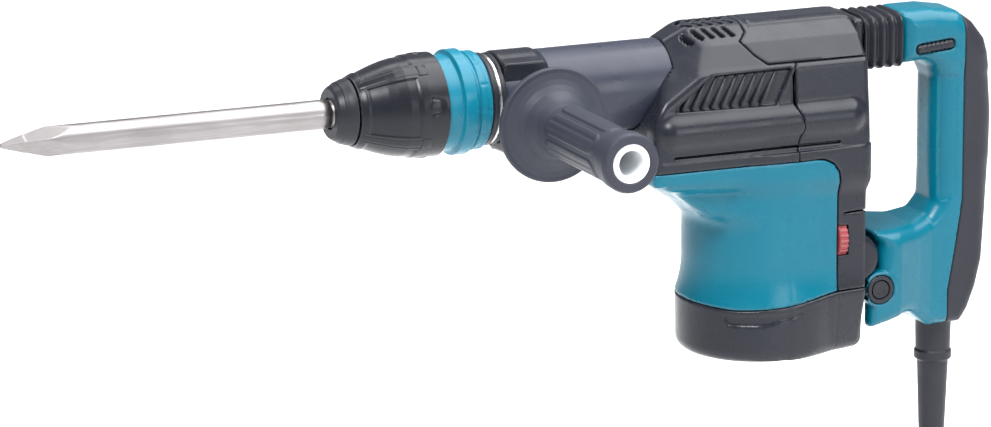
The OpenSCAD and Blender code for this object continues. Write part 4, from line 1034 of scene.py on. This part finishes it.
boot = makeBoot(bootValues)
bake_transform(boot)
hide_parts("handle_boot")

# cord guard: tapered sleeve with a ring of ridges, a shallow flat in front and one behind
guardValues = {"x": -35.5, "ridges": 8, "ridgeZ": -194.2, "ridgeRadius": 9.4, "flatStart": -199.0}
guardProfile = [(-160, 4.6), (-160, 13.6), (-163.6, 13.6), (-164.6, 11.6), (-190.5, 11.0), (-191.8, 11.9),
                (-196.6, 11.9), (-198.2, 9.9), (-239, 8.4), (-259, 7.2), (-262, 6.4), (-262, 4.6)]


def guardShape(station, angle, out):
    onFlat = (station < guardValues["flatStart"]) & (out > 6)
    return out - 0.25 * np.clip(np.abs(np.cos(angle)) - 0.93, 0, 1) * 10 * onFlat


turned("cord_guard_sleeve", guardProfile, "dark_rubber", "rear_handle", ("cord_guard",), axis="z",
       origin=(guardValues["x"], 0, 0), radius=0.7, count=96, longest=1.2, shape=guardShape)
ridge = barMesh("guard_ridge", (0.9, 2.6, 1.6), 0.5, centre=(guardValues["ridgeRadius"], 0, 0))
repeated(ridge, "dark_rubber", "rear_handle", guardValues["ridges"], turn=(0, 0, 360 / guardValues["ridges"]),
         centre=(guardValues["x"], 0, guardValues["ridgeZ"]))

# speed dial: toothed rim
dialX, dialHalf, dialRim = dialValues["x"], dialValues["half"], dialValues["rim"]
dialProfile = [(dialX - dialHalf, 2.1), (dialX - dialHalf, dialRim - 0.5), (dialX - 2.2, dialRim),
               (dialX + 2.2, dialRim), (dialX + dialHalf, dialRim - 0.5), (dialX + dialHalf, 2.1)]
turned("dial_wheel", dialProfile, "dial_red", "speed_dial", ("speed_dial",),
       origin=(0, dialValues["y"], dialValues["z"]), radius=0.4, count=144, longest=1.0)
tooth = barMesh("dial_tooth", (2.8, 0.75, 1.0), 0.35, centre=(0, 0, 12.1))
repeated(tooth, "dial_red", "speed_dial", dialValues["teeth"], turn=(360 / dialValues["teeth"], 0, 0),
         centre=(dialX, dialValues["y"], dialValues["z"]))
print("small pieces made")

# springs: a fixed wire coil over each span between the two bodies it sits between, attached to neither body
springValues = {
    "cover_spring": {"span": (st(52.4), st(75.6)), "mid": 19.6, "wire": 0.8, "turns": 5, "height": 0.0,
                     "ends": ("release_cover", "tool_holder"), "solid": "release_spring"},
    "change_spring": {"span": (st(88.3), st(95.7)), "mid": 20.5, "wire": 0.6, "turns": 3, "height": 0.0,
                      "ends": ("change_ring", "tool_holder"), "solid": "ring_spring"},
    "absorber_spring_front": {"span": (st(137.3), -283.8), "mid": 21.5, "wire": 0.9, "turns": 4, "height": 0.0,
                              "ends": ("housing", "absorber_weight"), "solid": "absorber_springs"},
    "absorber_spring_rear": {"span": (-259.2, -231.3), "mid": 21.5, "wire": 0.9, "turns": 4, "height": 0.0,
                             "ends": ("absorber_weight", "housing"), "solid": None},
    "boot_spring": {"span": (-103.5, -70.5), "mid": 9.0, "wire": 1.1, "turns": 6, "height": 15.0,
                    "ends": ("housing", "rear_handle"), "solid": "handle_spring"},
}
for name, v in springValues.items():
    t = np.linspace(0, 1, v["turns"] * 28 + 1)
    a = 2 * math.pi * v["turns"] * t
    first, last = v["span"]
    along = first + v["wire"] + t * (last - first - 2 * v["wire"])
    coil = np.stack([along, v["mid"] * np.cos(a), v["mid"] * np.sin(a) + v["height"]], axis=1)
    spring = sweptTube(name, coil, v["wire"], 8, "spring_steel", None)
    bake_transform(spring)
    if v["solid"]:
        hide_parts(v["solid"])

# studio: pale floor, soft boxes and an even sky
studioValues = {"floorZ": -0.535, "floorSize": 30.0, "sky": 0.32,
                "sun": 3.4, "sunFrom": (-0.55, -0.55, 1.0), "sunSpread": 22.0,
                "boxes": (("frontBox", (0.75, -2.5, 0.55), (-0.2, 0, -0.05), (0.6, 1.2), 16.0),
                          ("overheadBox", (0.6, -0.3, 1.9), (-0.3, 0, 0), (2.4, 2.2), 105.0),
                          ("backBox", (-0.4, 1.2, 1.8), (-0.3, 0, 0), (2.2, 0.5), 16.0))}


def makeStudio(values):
    floorMesh = bpy.data.meshes.new("floor")
    s, low = values["floorSize"], values["floorZ"]
    floorMesh.from_pydata([(-s, -s, low), (s, -s, low), (s, s, low), (-s, s, low)], [], [(0, 1, 2, 3)])
    floor = bpy.data.objects.new("floor", floorMesh)
    bpy.context.collection.objects.link(floor)
    material, tree, shader, place = newFinish("paleFloor")
    base = blendColour(tree, spread(tree, noiseAt(tree, place, 2.0), 0.0, 1.0), (0.90, 0.90, 0.90),
                       (0.93, 0.93, 0.93))
    tree.links.new(base, shader.inputs["Base Color"])
    shader.inputs["Roughness"].default_value = 0.85
    floorMesh.materials.append(material)
    world = bpy.data.worlds.new("studioSky")
    bpy.context.scene.world = world
    world.use_nodes = True
    sky = world.node_tree.nodes["Background"]
    sky.inputs["Color"].default_value = (0.90, 0.94, 1.0, 1.0)
    sky.inputs["Strength"].default_value = values["sky"]
    sun = bpy.data.lights.new("softSun", "SUN")
    sun.energy, sun.angle = values["sun"], math.radians(values["sunSpread"])
    sunLamp = bpy.data.objects.new("softSun", sun)
    sunLamp.rotation_euler = Vector(values["sunFrom"]).to_track_quat("Z", "Y").to_euler()
    bpy.context.collection.objects.link(sunLamp)
    for name, spot, aim, size, power in values["boxes"]:
        data = bpy.data.lights.new(name, "AREA")
        data.shape, data.size, data.size_y, data.energy = "RECTANGLE", size[0], size[1], power
        lamp = bpy.data.objects.new(name, data)
        lamp.location = spot
        lamp.rotation_euler = (Vector(aim) - Vector(spot)).to_track_quat("-Z", "Y").to_euler()
        bpy.context.collection.objects.link(lamp)


makeStudio(studioValues)
bpy.context.scene.view_settings.view_transform = "Standard"

print("studio made")
